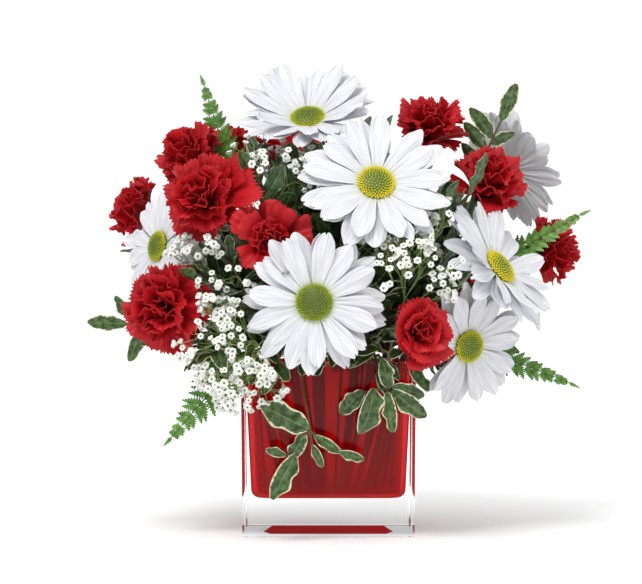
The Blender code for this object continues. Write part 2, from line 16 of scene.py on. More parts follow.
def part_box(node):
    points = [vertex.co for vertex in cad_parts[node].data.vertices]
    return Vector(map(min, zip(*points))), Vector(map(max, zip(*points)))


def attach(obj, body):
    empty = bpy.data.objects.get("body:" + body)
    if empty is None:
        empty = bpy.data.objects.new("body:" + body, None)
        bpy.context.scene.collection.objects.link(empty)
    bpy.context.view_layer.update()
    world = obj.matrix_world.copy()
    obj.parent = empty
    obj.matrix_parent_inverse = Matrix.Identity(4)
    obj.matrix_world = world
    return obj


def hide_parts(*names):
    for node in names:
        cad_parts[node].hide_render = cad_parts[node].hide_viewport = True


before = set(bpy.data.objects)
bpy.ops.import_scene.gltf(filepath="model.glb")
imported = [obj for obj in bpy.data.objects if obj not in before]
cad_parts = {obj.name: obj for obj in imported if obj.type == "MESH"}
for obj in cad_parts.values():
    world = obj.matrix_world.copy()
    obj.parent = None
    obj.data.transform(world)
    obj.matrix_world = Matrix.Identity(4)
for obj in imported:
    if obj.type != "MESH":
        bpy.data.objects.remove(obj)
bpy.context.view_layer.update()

bl_info = {
    "name": "Carnations and Daisies in a Vase",
    "version": (1, 0, 0),
    "blender": (4, 5, 0),
    "location": "View3D > Sidebar > Flowers",
    "description": "Cut flowers and greenery in a square glass vase that is lacquered red inside",
    "category": "Object",
}

MM = 0.001
UP = Vector((0, 0, 1))
GOLDEN_TURN = math.radians(137.508)
VASE_LOW, VASE_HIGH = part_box("vase_glass")
RIM = VASE_HIGH.z
# The packed stems are tubes through this many rings before their cup or calyx begins.
STEM_RINGS = 10
# Petals and leaves are drawn a little thicker than they grow, so they keep an edge.
BLADE_THICK = 0.32 * MM


def linear(hex_value):
    """An sRGB hex colour as linear red, green and blue."""
    parts = [int(hex_value[i:i + 2], 16) / 255 for i in (1, 3, 5)]
    return tuple(p / 12.92 if p <= 0.04045 else ((p + 0.055) / 1.055) ** 2.4 for p in parts)


def scaled(colour, by):
    """A colour made darker or lighter."""
    return tuple(c * by for c in colour)


# ------------------------------------------------------------------------------- settings


def length(name, description, default, low, high):
    """A length property in metres."""
    return FloatProperty(
        name=name, description=description, default=default, min=low, max=high,
        subtype="DISTANCE", unit="LENGTH", precision=4,
    )


def tint(name, description, default):
    """A colour property."""
    return FloatVectorProperty(
        name=name, description=description, default=linear(default), min=0, max=1,
        subtype="COLOR", size=3,
    )


class VaseSettings(bpy.types.PropertyGroup):
    """Sizes and colours of the vase"""

    rim_wall: length("Rim wall", "Thickness of the glass at the rim", 2.4 * MM, 1 * MM, 8 * MM)
    foot_wall: length("Foot wall", "Thickness of the glass low down", 5 * MM, 2 * MM, 12 * MM)
    base: length("Base", "Thickness of the clear base", 22 * MM, 5 * MM, 40 * MM)
    lacquer: length("Lacquer", "Thickness of the red film", 0.5 * MM, 0.2 * MM, 1 * MM)
    lacquer_tint: tint("Lacquer colour", "Colour of the light the film passes", "#f2666c")
    lacquer_body: tint("Lacquer body", "Colour of the film's own surface", "#d51920")


class DaisySettings(bpy.types.PropertyGroup):
    """Sizes and colours of the daisy chrysanthemums"""

    outer_rays: IntProperty(
        name="Outer rays", description="Ray petals in the lower ring", default=15, min=6, max=24
    )
    inner_rays: IntProperty(
        name="Inner rays", description="Ray petals in the upper ring", default=13, min=0, max=24
    )
    ray_width: length("Ray width", "Width of one ray petal", 12 * MM, 4 * MM, 16 * MM)
    disc: length("Disc", "Width of the disc of florets", 20 * MM, 8 * MM, 30 * MM)
    florets: IntProperty(
        name="Disc florets", description="Florets in one disc", default=190, min=20, max=400
    )
    ray_colour: tint("Ray colour", "Colour of the ray petals", "#f1f1f3")
    bud_colour: tint("Bud colour", "Colour of the unopened florets", "#66791c")
    floret_colour: tint("Floret colour", "Colour of the open florets", "#e6d21e")


class CarnationSettings(bpy.types.PropertyGroup):
    """Sizes and colours of the spray carnations"""

    ruffle: length("Ruffle", "Height of the waves in a petal's edge", 2.4 * MM, 0, 6 * MM)
    petal_colour: tint("Petal colour", "Colour of the petals", "#c9141f")
    edge_colour: tint("Edge colour", "Colour of the petals' thin edges", "#d8242e")
    calyx_colour: tint("Calyx colour", "Colour of the calyx and stem", "#7f9a72")


class GreenerySettings(bpy.types.PropertyGroup):
    """Sizes and colours of the leaves, ferns and baby's breath"""

    leaf: length("Leaf length", "Length of a pittosporum leaf", 27 * MM, 10 * MM, 50 * MM)
    floret: length("Bloom width", "Width of one baby's breath bloom", 5.0 * MM, 2 * MM, 9 * MM)
    leaf_colour: tint("Leaf colour", "Middle of a variegated leaf", "#3b5529")
    margin_colour: tint("Margin colour", "Margin of a variegated leaf", "#dfdfb6")
    fern_colour: tint("Fern colour", "Colour of the fern fronds", "#5f9636")
    bloom_colour: tint("Bloom colour", "Colour of the baby's breath", "#f6f7f2")


SETTINGS = {
    "vase_settings": VaseSettings,
    "daisy_settings": DaisySettings,
    "carnation_settings": CarnationSettings,
    "greenery_settings": GreenerySettings,
}


# ------------------------------------------------------------------------------ materials


def add(tree, kind, inputs=None, stops=(), **settings):
    """Adds one node with its settings, ramp stops, links and hex colours, and returns it."""
    made = tree.nodes.new(kind)
    for key, value in settings.items():
        setattr(made, key, value)
    for i, (at, value) in enumerate(stops):
        elements = made.color_ramp.elements
        element = elements[i] if i < 2 else elements.new(at)
        element.position = at
        element.color = (*(linear(value) if isinstance(value, str) else value), 1)
    for key, value in (inputs or {}).items():
        if isinstance(value, bpy.types.Node):
            value = value.outputs[0]
        if isinstance(value, bpy.types.NodeSocket):
            tree.links.new(value, made.inputs[key])
        else:
            made.inputs[key].default_value = (
                (*linear(value), 1) if isinstance(value, str) else value)
    return made


def new_material(name):
    """An empty node material of this name, with its tree and output."""
    made = bpy.data.materials.new(name)
    made.use_nodes = True
    tree = made.node_tree
    tree.nodes.clear()
    return made, tree, add(tree, "ShaderNodeOutputMaterial")


def leafy_surface(tree, out, principled, back, share):
    """Gives a thin leaf or petal its surface: part of the light goes through to the far side."""
    shown = add(tree, "ShaderNodeBsdfPrincipled", principled)
    through = add(tree, "ShaderNodeBsdfTranslucent", {"Color": back})
    mixed = add(tree, "ShaderNodeMixShader", {0: share, 1: shown, 2: through})
    tree.links.new(mixed.outputs[0], out.inputs["Surface"])


def ray_material(colour):
    """Chrysanthemum ray: matt, faintly waxy tissue with fine lengthwise veins, 0.7 mm apart."""
    made, tree, out = new_material("chrysanthemum_ray")
    uv = add(tree, "ShaderNodeUVMap", uv_map="UVMap")
    # The map runs 0 to 1 across 12 mm, so 18 cells across lie 0.7 mm apart.
    run = add(tree, "ShaderNodeMapping", {"Vector": uv, "Scale": (18, 1.6, 1)})
    veins = add(tree, "ShaderNodeTexNoise", {"Vector": run, "Scale": 1.0, "Detail": 3.0})
    parts = add(tree, "ShaderNodeSeparateXYZ", {0: uv})
    base = add(
        tree, "ShaderNodeValToRGB", {0: parts.outputs[1]},
        stops=((0.0, "#cfd58c"), (0.10, "#e9ecd6"), (0.26, tuple(colour))),
    )
    shade = add(
        tree, "ShaderNodeValToRGB", {0: veins},
        stops=((0.32, "#d6d8e0"), (0.60, "#ffffff")),
    )
    tinted = add(tree, "ShaderNodeMix", {0: 1.0, 6: base, 7: shade},
                 data_type="RGBA", blend_type="MULTIPLY")
    bump = add(tree, "ShaderNodeBump", {"Strength": 0.5, "Distance": 0.25 * MM, "Height": veins})
    leafy_surface(
        tree, out,
        {"Base Color": tinted.outputs[2], "Roughness": 0.5, "Specular IOR Level": 0.35,
         "Normal": bump},
        "#e8e9ee", 0.2,
    )
    return made


def floret_material(bud, open_colour):
    """Disc floret: waxy tubes, green while shut in the middle and yellow once open outside."""
    made, tree, out = new_material("disc_floret")
    ripe = add(tree, "ShaderNodeAttribute", attribute_name="tone")
    base = add(
        tree, "ShaderNodeValToRGB", {0: ripe.outputs["Fac"]},
        stops=((0.0, scaled(bud, 0.55)), (0.2, tuple(bud)), (0.52, "#9fb02a"),
               (0.85, tuple(open_colour))),
    )
    at = add(tree, "ShaderNodeTexCoord")
    # A grain of 0.6 mm breaks up each tube's highlight.
    grain = add(tree, "ShaderNodeTexNoise", {"Vector": at.outputs["Object"], "Scale": 1800.0})
    bump = add(tree, "ShaderNodeBump", {"Strength": 0.3, "Distance": 0.2 * MM, "Height": grain})
    shown = add(tree, "ShaderNodeBsdfPrincipled",
                {"Base Color": base, "Roughness": 0.55, "Normal": bump})
    tree.links.new(shown.outputs[0], out.inputs["Surface"])
    return made


def carnation_material(colour, edge):
    """Carnation petal: soft velvety tissue, deep red, with painted shade darkening it towards its
    foot, and a little brighter at its thin edge.
    """
    made, tree, out = new_material("carnation_petal")
    uv = add(tree, "ShaderNodeUVMap", uv_map="UVMap")
    parts = add(tree, "ShaderNodeSeparateXYZ", {0: uv})
    # Painted shade: each petal darkens towards its foot, down to a third of its red, where it
    # lies deep in the ball.
    base = add(
        tree, "ShaderNodeValToRGB", {0: parts.outputs[1]},
        stops=((0.1, scaled(colour, 0.35)), (0.55, tuple(colour)), (0.86, tuple(colour)),
               (1.0, tuple(edge))),
    )
    # Veins fan out along the petal about 0.8 mm apart at its edge.
    run = add(tree, "ShaderNodeMapping", {"Vector": uv, "Scale": (26, 2, 1)})
    veins = add(tree, "ShaderNodeTexNoise", {"Vector": run, "Scale": 1.0, "Detail": 4.0})
    shade = add(tree, "ShaderNodeValToRGB", {0: veins},
                stops=((0.3, "#d2bcbe"), (0.65, "#ffffff")))
    tinted = add(tree, "ShaderNodeMix", {0: 1.0, 6: base, 7: shade},
                 data_type="RGBA", blend_type="MULTIPLY")
    bump = add(tree, "ShaderNodeBump", {"Strength": 0.35, "Distance": 0.3 * MM, "Height": veins})
    leafy_surface(
        tree, out,
        {"Base Color": tinted.outputs[2], "Roughness": 0.5, "Specular IOR Level": 0.3,
         "Sheen Weight": 0.06, "Sheen Roughness": 0.4, "Sheen Tint": "#ffaaaa",
         "Normal": bump},
        (*colour, 1), 0.18,
    )
    return made


def stem_material(name, colour, roughness):
    """Fresh green stem: smooth living skin with faint lengthwise mottling, 2 mm long."""
    made, tree, out = new_material(name)
    at = add(tree, "ShaderNodeTexCoord")
    mottle = add(tree, "ShaderNodeTexNoise",
                 {"Vector": at.outputs["Object"], "Scale": 500.0, "Detail": 3.0})
    base = add(
        tree, "ShaderNodeValToRGB", {0: mottle},
        stops=((0.3, scaled(colour, 0.6)), (0.7, scaled(colour, 1.25))),
    )
    bump = add(tree, "ShaderNodeBump", {"Strength": 0.3, "Distance": 0.2 * MM, "Height": mottle})
    shown = add(tree, "ShaderNodeBsdfPrincipled",
                {"Base Color": base, "Roughness": roughness, "Normal": bump})
    tree.links.new(shown.outputs[0], out.inputs["Surface"])
    return made


def off_midrib(tree, across):
    """How far a point lies from its leaf's midrib, as a share of the leaf's width."""
    offset = add(tree, "ShaderNodeMath", {0: across, 1: 0.5}, operation="SUBTRACT")
    return add(tree, "ShaderNodeMath", {0: offset}, operation="ABSOLUTE")


def leaf_material(name, colour, margin, margin_from):
    """Pittosporum leaf: thin leathery blade, blotched grey green, its wavy margin left cream."""
    made, tree, out = new_material(name)
    uv = add(tree, "ShaderNodeUVMap", uv_map="UVMap")
    tone = add(tree, "ShaderNodeAttribute", attribute_name="tone")
    parts = add(tree, "ShaderNodeSeparateXYZ", {0: uv})
    aside = off_midrib(tree, parts.outputs[0])
    # Blotches of 3 to 4 mm on a leaf 12 mm wide and 27 mm long, other ones on each leaf.
    shifted = add(tree, "ShaderNodeCombineXYZ", {2: tone.outputs["Fac"]})
    shifted = add(tree, "ShaderNodeVectorMath", {0: shifted, 1: (40, 40, 40)},
                  operation="MULTIPLY")
    moved = add(tree, "ShaderNodeVectorMath", {0: uv, 1: shifted}, operation="ADD")
    run = add(tree, "ShaderNodeMapping", {"Vector": moved, "Scale": (2.2, 5, 1)})
    blotch = add(tree, "ShaderNodeTexNoise", {"Vector": run, "Scale": 1.6, "Detail": 3.0})
    ragged = add(tree, "ShaderNodeMapping", {"Vector": moved, "Scale": (5, 14, 1)})
    ragged = add(tree, "ShaderNodeTexNoise", {"Vector": ragged, "Scale": 1.0, "Detail": 2.0})
    reach = add(tree, "ShaderNodeMath", {0: ragged, 1: 0.26, 2: 0.0}, operation="MULTIPLY_ADD")
    reach = add(tree, "ShaderNodeMath", {0: aside, 1: reach}, operation="ADD")
    rim = add(tree, "ShaderNodeMapRange",
              {0: reach, 1: margin_from, 2: margin_from + 0.03, 3: 0.0, 4: 1.0})
    green = add(
        tree, "ShaderNodeValToRGB", {0: blotch},
        stops=((0.34, scaled(colour, 0.38)), (0.47, tuple(colour)),
               (0.62, tuple(min(1.0, c * 1.7 + 0.02) for c in colour))),
    )
    whole = add(tree, "ShaderNodeMix", {0: rim, 6: green, 7: (*margin, 1)}, data_type="RGBA")
    rib = add(tree, "ShaderNodeMapRange", {0: aside, 1: 0.0, 2: 0.035, 3: 0.55, 4: 0.0})
    lit = add(tree, "ShaderNodeMix", {0: rib, 6: whole.outputs[2], 7: "#95ae65"},
              data_type="RGBA")
    bump = add(tree, "ShaderNodeBump", {"Strength": 0.4, "Distance": 0.4 * MM, "Height": blotch})
    leafy_surface(
        tree, out,
        {"Base Color": lit.outputs[2], "Roughness": 0.38, "Specular IOR Level": 0.5,
         "Normal": bump},
        (*scaled(colour, 1.3), 1), 0.12,
    )
    return made


def fern_material(colour):
    """Leatherleaf fern: firm glossy pinnules, lighter along each midrib, mottled by 3 mm."""
    made, tree, out = new_material("leatherleaf_fern")
    at = add(tree, "ShaderNodeTexCoord")
    uv = add(tree, "ShaderNodeUVMap", uv_map="UVMap")
    parts = add(tree, "ShaderNodeSeparateXYZ", {0: uv})
    mottle = add(tree, "ShaderNodeTexNoise",
                 {"Vector": at.outputs["Object"], "Scale": 300.0, "Detail": 2.0})
    aside = off_midrib(tree, parts.outputs[0])
    green = add(
        tree, "ShaderNodeValToRGB", {0: mottle},
        stops=((0.3, scaled(colour, 0.45)), (0.7, scaled(colour, 1.35))),
    )
    rib = add(tree, "ShaderNodeMapRange", {0: aside, 1: 0.0, 2: 0.09, 3: 0.5, 4: 0.0})
    lit = add(tree, "ShaderNodeMix", {0: rib, 6: green, 7: "#81aa55"},
              data_type="RGBA")
    bump = add(tree, "ShaderNodeBump", {"Strength": 0.4, "Distance": 0.3 * MM, "Height": mottle})
    leafy_surface(
        tree, out,
        {"Base Color": lit.outputs[2], "Roughness": 0.4, "Normal": bump},
        (*scaled(colour, 1.4), 1), 0.15,
    )
    return made


def bloom_material(colour):
    """Baby's breath bloom: papery white petals round a small dark green eye."""
    made, tree, out = new_material("gypsophila_bloom")
    tone = add(tree, "ShaderNodeAttribute", attribute_name="tone")
    base = add(
        tree, "ShaderNodeValToRGB", {0: tone.outputs["Fac"]},
        stops=((0.0, "#1d2410"), (0.12, "#59663a"), (0.3, "#d9dec6"), (0.55, tuple(colour))),
    )
    leafy_surface(tree, out, {"Base Color": base, "Roughness": 0.6}, (*colour, 1), 0.2)
    return made


def glass_material():
    """Soda-lime glass, pressed and fire polished: clear and smooth, and lamps reach inside."""
    made, tree, out = new_material("soda_lime_glass")
    # It mirrors less than bare glass, so the red behind it stays deep.
    glass = add(tree, "ShaderNodeBsdfPrincipled", {
        "Base Color": "#fdfefe", "Roughness": 0.0, "IOR": 1.5,
        "Transmission Weight": 1.0, "Specular Tint": "#959595",
    })
    clear = add(tree, "ShaderNodeBsdfTransparent", {"Color": "#f9fafa"})
    path = add(tree, "ShaderNodeLightPath")
    mixed = add(tree, "ShaderNodeMixShader",
                {0: path.outputs["Is Shadow Ray"], 1: glass, 2: clear})
    tree.links.new(mixed.outputs[0], out.inputs["Surface"])
    return made


def lacquer_material(passed, body):
    """Red lacquer film, sprayed on and baked: even, glossy, and see-through against light."""
    made, tree, out = new_material("red_lacquer_film")
    at = add(tree, "ShaderNodeTexCoord")
    # The film pools into faint uneven patches about 20 mm across.
    pooled = add(tree, "ShaderNodeTexNoise",
                 {"Vector": at.outputs["Object"], "Scale": 50.0, "Detail": 1.0})
    coat = add(
        tree, "ShaderNodeValToRGB", {0: pooled},
        stops=((0.3, scaled(body, 0.85)), (0.7, scaled(body, 1.1))),
    )
    shown = add(tree, "ShaderNodeBsdfPrincipled",
                {"Base Color": coat, "Roughness": 0.4, "Specular IOR Level": 0.0})
    through = add(tree, "ShaderNodeBsdfTranslucent", {"Color": coat})
    solid = add(tree, "ShaderNodeMixShader", {0: 0.5, 1: shown, 2: through})
    clear = add(tree, "ShaderNodeBsdfTransparent", {"Color": (*passed, 1)})
    # The film in the well lets more light straight through than the red patch on the underside,
    # which is a painted reflection.
    thin = add(tree, "ShaderNodeAttribute", attribute_name="tone")
    mixed = add(tree, "ShaderNodeMixShader", {0: thin.outputs["Fac"], 1: solid, 2: clear})
    tree.links.new(mixed.outputs[0], out.inputs["Surface"])
    return made


# --------------------------------------------------------------------------- mesh helpers


def new_mesh():
    """An empty bmesh with the UV map and tone layers that the materials read."""
    bm = bmesh.new()
    bm.loops.layers.uv.new("UVMap")
    bm.verts.layers.float.new("tone")
    return bm


def corners_of(geometry):
    """The corners among some geometry."""
    return [item for item in geometry if isinstance(item, bmesh.types.BMVert)]


def faces_of(corners):
    """The faces that touch these corners."""
    return {face for corner in corners for face in corner.link_faces}


def paint(bm, corners, tone=None, slot=None):
    """Sets the tone of some corners and the material slot of their faces."""
    layer = bm.verts.layers.float["tone"]
    if tone is not None:
        for corner in corners:
            corner[layer] = tone
    if slot is not None:
        for face in faces_of(corners):
            face.material_index = slot


def outwards(bm):
    """Turns the faces of a closed mesh outwards, which a thin bent tube needs checked."""
    bmesh.ops.recalc_face_normals(bm, faces=bm.faces)
    if bm.calc_volume(signed=True) < 0:
        bmesh.ops.reverse_faces(bm, faces=bm.faces)


def put(bm, part):
    """Adds a small mesh to a bigger one, its faces turned outwards, and frees it."""
    outwards(part)
    carried = bpy.data.meshes.new("part")
    part.to_mesh(carried)
    part.free()
    bm.from_mesh(carried)
    bpy.data.meshes.remove(carried)


def sheet(bm, columns, rows, shape, tone=0.5, slot=0):
    """Adds a thin blade: a grid laid at shape(across, along), from -1 to 1 and from 0 to 1."""
    part = new_mesh()
    made = bmesh.ops.create_grid(part, x_segments=columns, y_segments=rows, size=1.0)["verts"]
    flat = {corner: ((corner.co.x + 1) / 2, (corner.co.y + 1) / 2) for corner in made}
    uv = part.loops.layers.uv["UVMap"]
    for face in part.faces:
        for loop in face.loops:
            loop[uv].uv = flat[loop.vert]
    for corner, (across, along) in flat.items():
        corner.co = shape(2 * across - 1, along)
    paint(part, made, tone, slot)
    bmesh.ops.recalc_face_normals(part, faces=part.faces)
    bmesh.ops.solidify(part, geom=part.faces[:], thickness=BLADE_THICK)
    put(bm, part)


def frames_along(path):
    """A frame at each point of a path, which faces along it and doesn't twist."""
    side = (path[1] - path[0]).orthogonal()
    frames = []
    for i, at in enumerate(path):
        along = (path[min(i + 1, len(path) - 1)] - path[max(i - 1, 0)]).normalized()
        side = (side - along * side.dot(along)).normalized()
        turned = Matrix((side, along.cross(side), along)).transposed().to_4x4()
        turned.translation = at
        frames.append(turned)
    return frames


def grown_ring(part, edges, before, after):
    """Extrudes an open ring of edges and moves the new ring from one frame to another."""
    grown = bmesh.ops.extrude_edge_only(part, edges=edges)["geom"]
    ring = corners_of(grown)
    new = set(ring)
    bmesh.ops.transform(part, matrix=after @ before.inverted(), verts=ring)
    return ring, [item for item in grown if isinstance(item, bmesh.types.BMEdge)
                  and item.verts[0] in new and item.verts[1] in new]


def tube(bm, path, radii, sides=8, tone=0.5, slot=0):
    """Adds a closed tube along a path, with one radius for each point."""
    part = new_mesh()
    stations = [
        turned @ Matrix.Diagonal((radius, radius, radius, 1))
        for turned, radius in zip(frames_along(path), radii)
    ]
    bmesh.ops.create_circle(part, cap_ends=True, segments=sides, radius=1.0,
                            matrix=stations[0])
    edges = part.edges[:]
    for before, after in zip(stations, stations[1:]):
        edges = grown_ring(part, edges, before, after)[1]
    bmesh.ops.contextual_create(part, geom=edges)
    paint(part, part.verts, tone, slot)
    put(bm, part)


def tapered(bm, path, radius, loss):
    """Adds a twig or stalk that loses this share of its radius along its path."""
    tube(bm, path, [radius * (1 - loss * i / len(path)) for i in range(len(path))], 7, slot=1)


def fine_twigs(bm, paths):
    """Adds the even, fine twigs that carry the inner leaves."""
    for path in paths:
        tube(bm, path, [0.9 * MM] * len(path), 6, slot=1)


def smoothed(points, steps):
    """A smooth curve through some points, with this many steps between each two."""
    ends = [points[0] * 2 - points[1], *points, points[-1] * 2 - points[-2]]
    path = []
    for a, b, c, d in zip(ends, ends[1:], ends[2:], ends[3:]):
        for step in range(steps):
            t = step / steps
            path.append(0.5 * (
                2 * b + (c - a) * t + (2 * a - 5 * b + 4 * c - d) * t**2
                + (3 * b - 3 * c + d - a) * t**3
            ))
    return [*path, points[-1].copy()]


def evenly(path, count, last=None):
    """Points at equal steps along a path, or along just its last part of some length."""
    left = [0.0]
    for a, b in zip(path[::-1], path[-2::-1]):
        left.append(left[-1] + (b - a).length)
    span = min(left[-1], last or left[-1])
    backward = path[::-1]
    points = []
    for i in range(count):
        want = span * (1 - i / (count - 1))
        j = max(1, next((k for k, at in enumerate(left) if at >= want - 1e-9), len(left) - 1))
        share = (want - left[j - 1]) / (left[j] - left[j - 1])
        points.append(backward[j - 1].lerp(backward[j], share))
    return points


def copies(bm, template, placements):
    """Lays copies of a small mesh at (matrix, tone or None) places in a bigger one."""
    for matrix, tone in placements:
        one = template.copy()
        bmesh.ops.transform(one, matrix=matrix, verts=one.verts)
        paint(one, one.verts, tone)
        put(bm, one)
    template.free()


def facing(centre, axis, spin=0.0):
    """A frame at a place whose Z runs along an axis and whose Y points upwards."""
    level = UP if abs(axis.z) < 0.98 else Vector((0, 1, 0))
    side = level.cross(axis).normalized()
    turned = Matrix((side, axis.cross(side), axis)).transposed().to_4x4()
    turned.translation = centre
    return turned @ Matrix.Rotation(spin, 4, "Z")


def keep_flats_flat(mesh, limit):
    """Weighs each corner's normal by the area round it, so broad sides don't look bent."""
    around = [[] for _ in mesh.vertices]
    for side in mesh.polygons:
        for corner in side.vertices:
            around[corner].append(side)
    normals = []
    for side in mesh.polygons:
        for corner in side.vertices:
            total = Vector()
            for other in around[corner]:
                if other.normal.angle(side.normal) < limit:
                    total += other.normal * other.area
            normals.append(total.normalized())
    mesh.normals_split_custom_set(normals)


def add_piece(name, bm, materials, nodes=(), sharp=50, flat_sides=False):
    """Links one finished piece that rides on the root and stands for some packed nodes."""
    mesh = bpy.data.meshes.new(name)
    bm.to_mesh(mesh)
    bm.free()
    mesh.shade_smooth()
    mesh.set_sharp_from_angle(angle=math.radians(sharp))
    if flat_sides:
        keep_flats_flat(mesh, math.radians(sharp))
    made = bpy.data.objects.new(name, mesh)
    bpy.context.scene.collection.objects.link(made)
    for material in materials:
        mesh.materials.append(material)
    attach(made, "root")
    if nodes:
        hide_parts(*nodes)


# -------------------------------------------------------------- places read from the frame


def nodes_like(start, end=""):
    """The packed nodes whose names start and end like this, without that end."""
    return [
        name.removesuffix(end) for name in sorted(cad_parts)
        if name.startswith(start) and name.endswith(end)
    ]


def merged(name):
    """A merged copy of a packed node's triangles."""
    bm = bmesh.new()
    bm.from_mesh(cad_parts[name].data)
    bmesh.ops.remove_doubles(bm, verts=bm.verts, dist=0.02 * MM)
    return bm


def middle_of(points):
    """The mean of some points."""
    return sum(points, Vector()) / len(points)


class Stalk:
    """A packed stem read back: the middles of its rings, its radius, and what lies past them."""

    def __init__(self, name, rings_wanted=None):
        bm = merged(name)
        foot = min(bm.verts, key=lambda corner: corner.co.z)
        ring = {corner for corner in bm.verts if (corner.co - foot.co).length < 6 * MM}
        sides = len(ring)
        seen = set(ring)
        rings = []
        while ring:
            # Sorted, because the order of a set changes from run to run.
            rings.append(sorted((corner.co.copy() for corner in ring), key=lambda at: at[:]))
            ring = {e.other_vert(corner) for corner in ring for e in corner.link_edges} - seen
            seen |= ring
        bm.free()
        whole = next((i for i, r in enumerate(rings) if len(r) != sides), len(rings))
        kept = min(whole, rings_wanted or whole)
        self.path = [middle_of(r) for r in rings[:kept]]
        self.radius = (rings[0][0] - self.path[0]).length
        self.beyond = [point for r in rings[kept:] for point in r]
        self.rest = rings[kept:]
        self.end = self.path[-1]

    def tip(self):
        """The packed point furthest past the stem's end, and the way there."""
        furthest = max(self.beyond, key=lambda point: (point - self.end).length)
        return furthest, (furthest - self.end).normalized()


class Head:
    """A flower head: its middle, the way it faces, how far it reaches, and its kind."""

    def __init__(self, kind, centre, axis, reach):
        self.kind = kind
        self.centre = centre
        self.axis = axis
        self.reach = reach

    def holds(self, point, room):
        """Whether a point lies in the head or just in front of it."""
        offset = point - self.centre
        height = offset.dot(self.axis)
        level = (offset - self.axis * height).length
        if self.kind == "daisy":
            return level < self.reach + room and -room < height < 20 * MM + room
        return level < self.reach + room and -self.reach - room < height < self.reach * 1.5


def daisy_head(name):
    """Reads a daisy's whorl back: the hub's middle, the axis and the reach of its petals."""
    bm = merged(name + "_petals")
    points = [corner.co.copy() for corner in bm.verts]
    bm.free()
    middle = middle_of(points)
    spread = Matrix(((0,) * 3,) * 3)
    for point in points:
        offset = point - middle
        for i in range(3):
            spread[i] += offset * offset[i]
    # The axis is the way in which the whorl spreads least.
    spread = spread + Matrix.Identity(3) * 1e-9
    axis = Vector((0.3, -0.8, 0.5))
    inverse = spread.inverted()
    for _ in range(40):
        axis = (inverse @ axis).normalized()
    reach = [(point - middle - axis * (point - middle).dot(axis)).length for point in points]
    hub = middle_of([p for p, r in zip(points, reach) if r < min(reach) * 1.2])
    if (middle - hub).dot(axis) < 0:
        axis.negate()
    return Head("daisy", hub - axis * 0.45 * MM, axis, max(reach))


def carnation_head(name, stalk):
    """Reads a carnation back: the ball's base, the calyx's axis and the ball's radius."""
    top = middle_of(stalk.rest[-1])
    axis = (top - middle_of(stalk.rest[-2])).normalized()
    bm = merged(name + "_petals")
    offsets = [corner.co - top for corner in bm.verts]
    bm.free()
    reach = max((offset - axis * offset.dot(axis)).length for offset in offsets) / 1.07
    return Head("carnation", top + axis * 0.75 * reach, axis, reach)


DAISY_STALKS = {n: Stalk(n + "_stem_and_disc", STEM_RINGS)
                for n in nodes_like("daisy", "_stem_and_disc")}
CARNATION_STALKS = {n: Stalk(n + "_stem_and_calyx", STEM_RINGS)
                    for n in nodes_like("carnation", "_stem_and_calyx")}
DAISIES = {name: daisy_head(name) for name in DAISY_STALKS}
CARNATIONS = {name: carnation_head(name, s) for name, s in CARNATION_STALKS.items()}
HEADS = [*DAISIES.values(), *CARNATIONS.values()]


def clear_of_heads(point, room=1 * MM):
    """Whether a point lies in no flower head and not in front of one."""
    return not any(head.holds(point, room) for head in HEADS)


def shaken(rng, most):
    """A small random offset."""
    return Vector([rng.uniform(-most, most) for _ in range(3)])


def seeded(name):
    """A random source that is the same on every run and other for each name."""
    return random.Random(sum(ord(letter) * (i + 7) for i, letter in enumerate(name)))


# ------------------------------------------------------------------------------- the vase

# The block leans out by the draft of its press mould, and its corners and edges are rounded.
DRAFT = 1 * MM
OUTER_CORNER = 2.5 * MM
MOUTH_CORNER = 9 * MM
CORNER_STEPS = 6
FILLET = 5 * MM
FILLET_STEPS = 5
EDGE_ROUND = 0.7 * MM
# The film lies just off the glass and stops short of the rim.
FILM_GAP = 0.06 * MM
FILM_BELOW_RIM = 1.5 * MM
# Shares of the light that pass straight through the film and through the patch.
FILM_CLEAR = 0.68
PATCH_CLEAR = 0.55
# Painted reflection: a red patch on the underside, a long hexagon in millimetres round the axis,
# stands for the red strip that the well reflects into the clear base.
PATCH = ((-34, -23.5), (34, -23.5), (38.5, -4), (34, 47), (-34, 47), (-38.5, -4))
PATCH_ABOVE_FOOT = 0.01 * MM
PATCH_THICK = 0.05 * MM


def rounded_square(bm, half, corner, height, steps):
    """Adds one flat face: a square with rounded corners."""
    made = bmesh.ops.create_grid(
        bm, x_segments=1, y_segments=1, size=half, matrix=Matrix.Translation((0, 0, height))
    )["verts"]
    bmesh.ops.bevel(
        bm, geom=made, offset=corner, offset_type="OFFSET", segments=steps, profile=0.5,
        affect="VERTICES", material=-1,
    )
    return max((face for face in bm.faces if abs(face.calc_center_median().z - height) < 1e-7),
               key=lambda face: face.calc_area())


def drawn(bm, face, height, wide):
    """Extrudes a level face to another height and scales it about the vase's axis."""
    grown = bmesh.ops.extrude_discrete_faces(bm, faces=[face])["faces"][0]
    at = grown.calc_center_median().z
    turned = Matrix.Translation((0, 0, height)) @ Matrix.Diagonal((wide, wide, 1, 1))
    bmesh.ops.transform(
        bm, matrix=turned @ Matrix.Translation((0, 0, -at)), verts=grown.verts[:]
    )
    return grown


def well(bm, settings, grown_by, top):
    """Adds the open well from its mouth down to its closed floor, and returns its mouth."""
    half_mouth = VASE_HIGH.x - settings.rim_wall + grown_by
    half_foot = VASE_HIGH.x - DRAFT - settings.foot_wall + grown_by
    floor = settings.base - grown_by
    mouth = rounded_square(bm, half_mouth, MOUTH_CORNER, top, CORNER_STEPS)
    edges = mouth.edges[:]
    face = drawn(bm, mouth, floor + FILLET, half_foot / half_mouth)
    for step in range(1, FILLET_STEPS + 1):
        before, angle = (math.radians(90 * n / FILLET_STEPS) for n in (step - 1, step))
        wide = (half_foot - FILLET * (1 - math.cos(angle))) / (
            half_foot - FILLET * (1 - math.cos(before)))
        face = drawn(bm, face, floor + FILLET * (1 - math.sin(angle)), wide)
    return edges


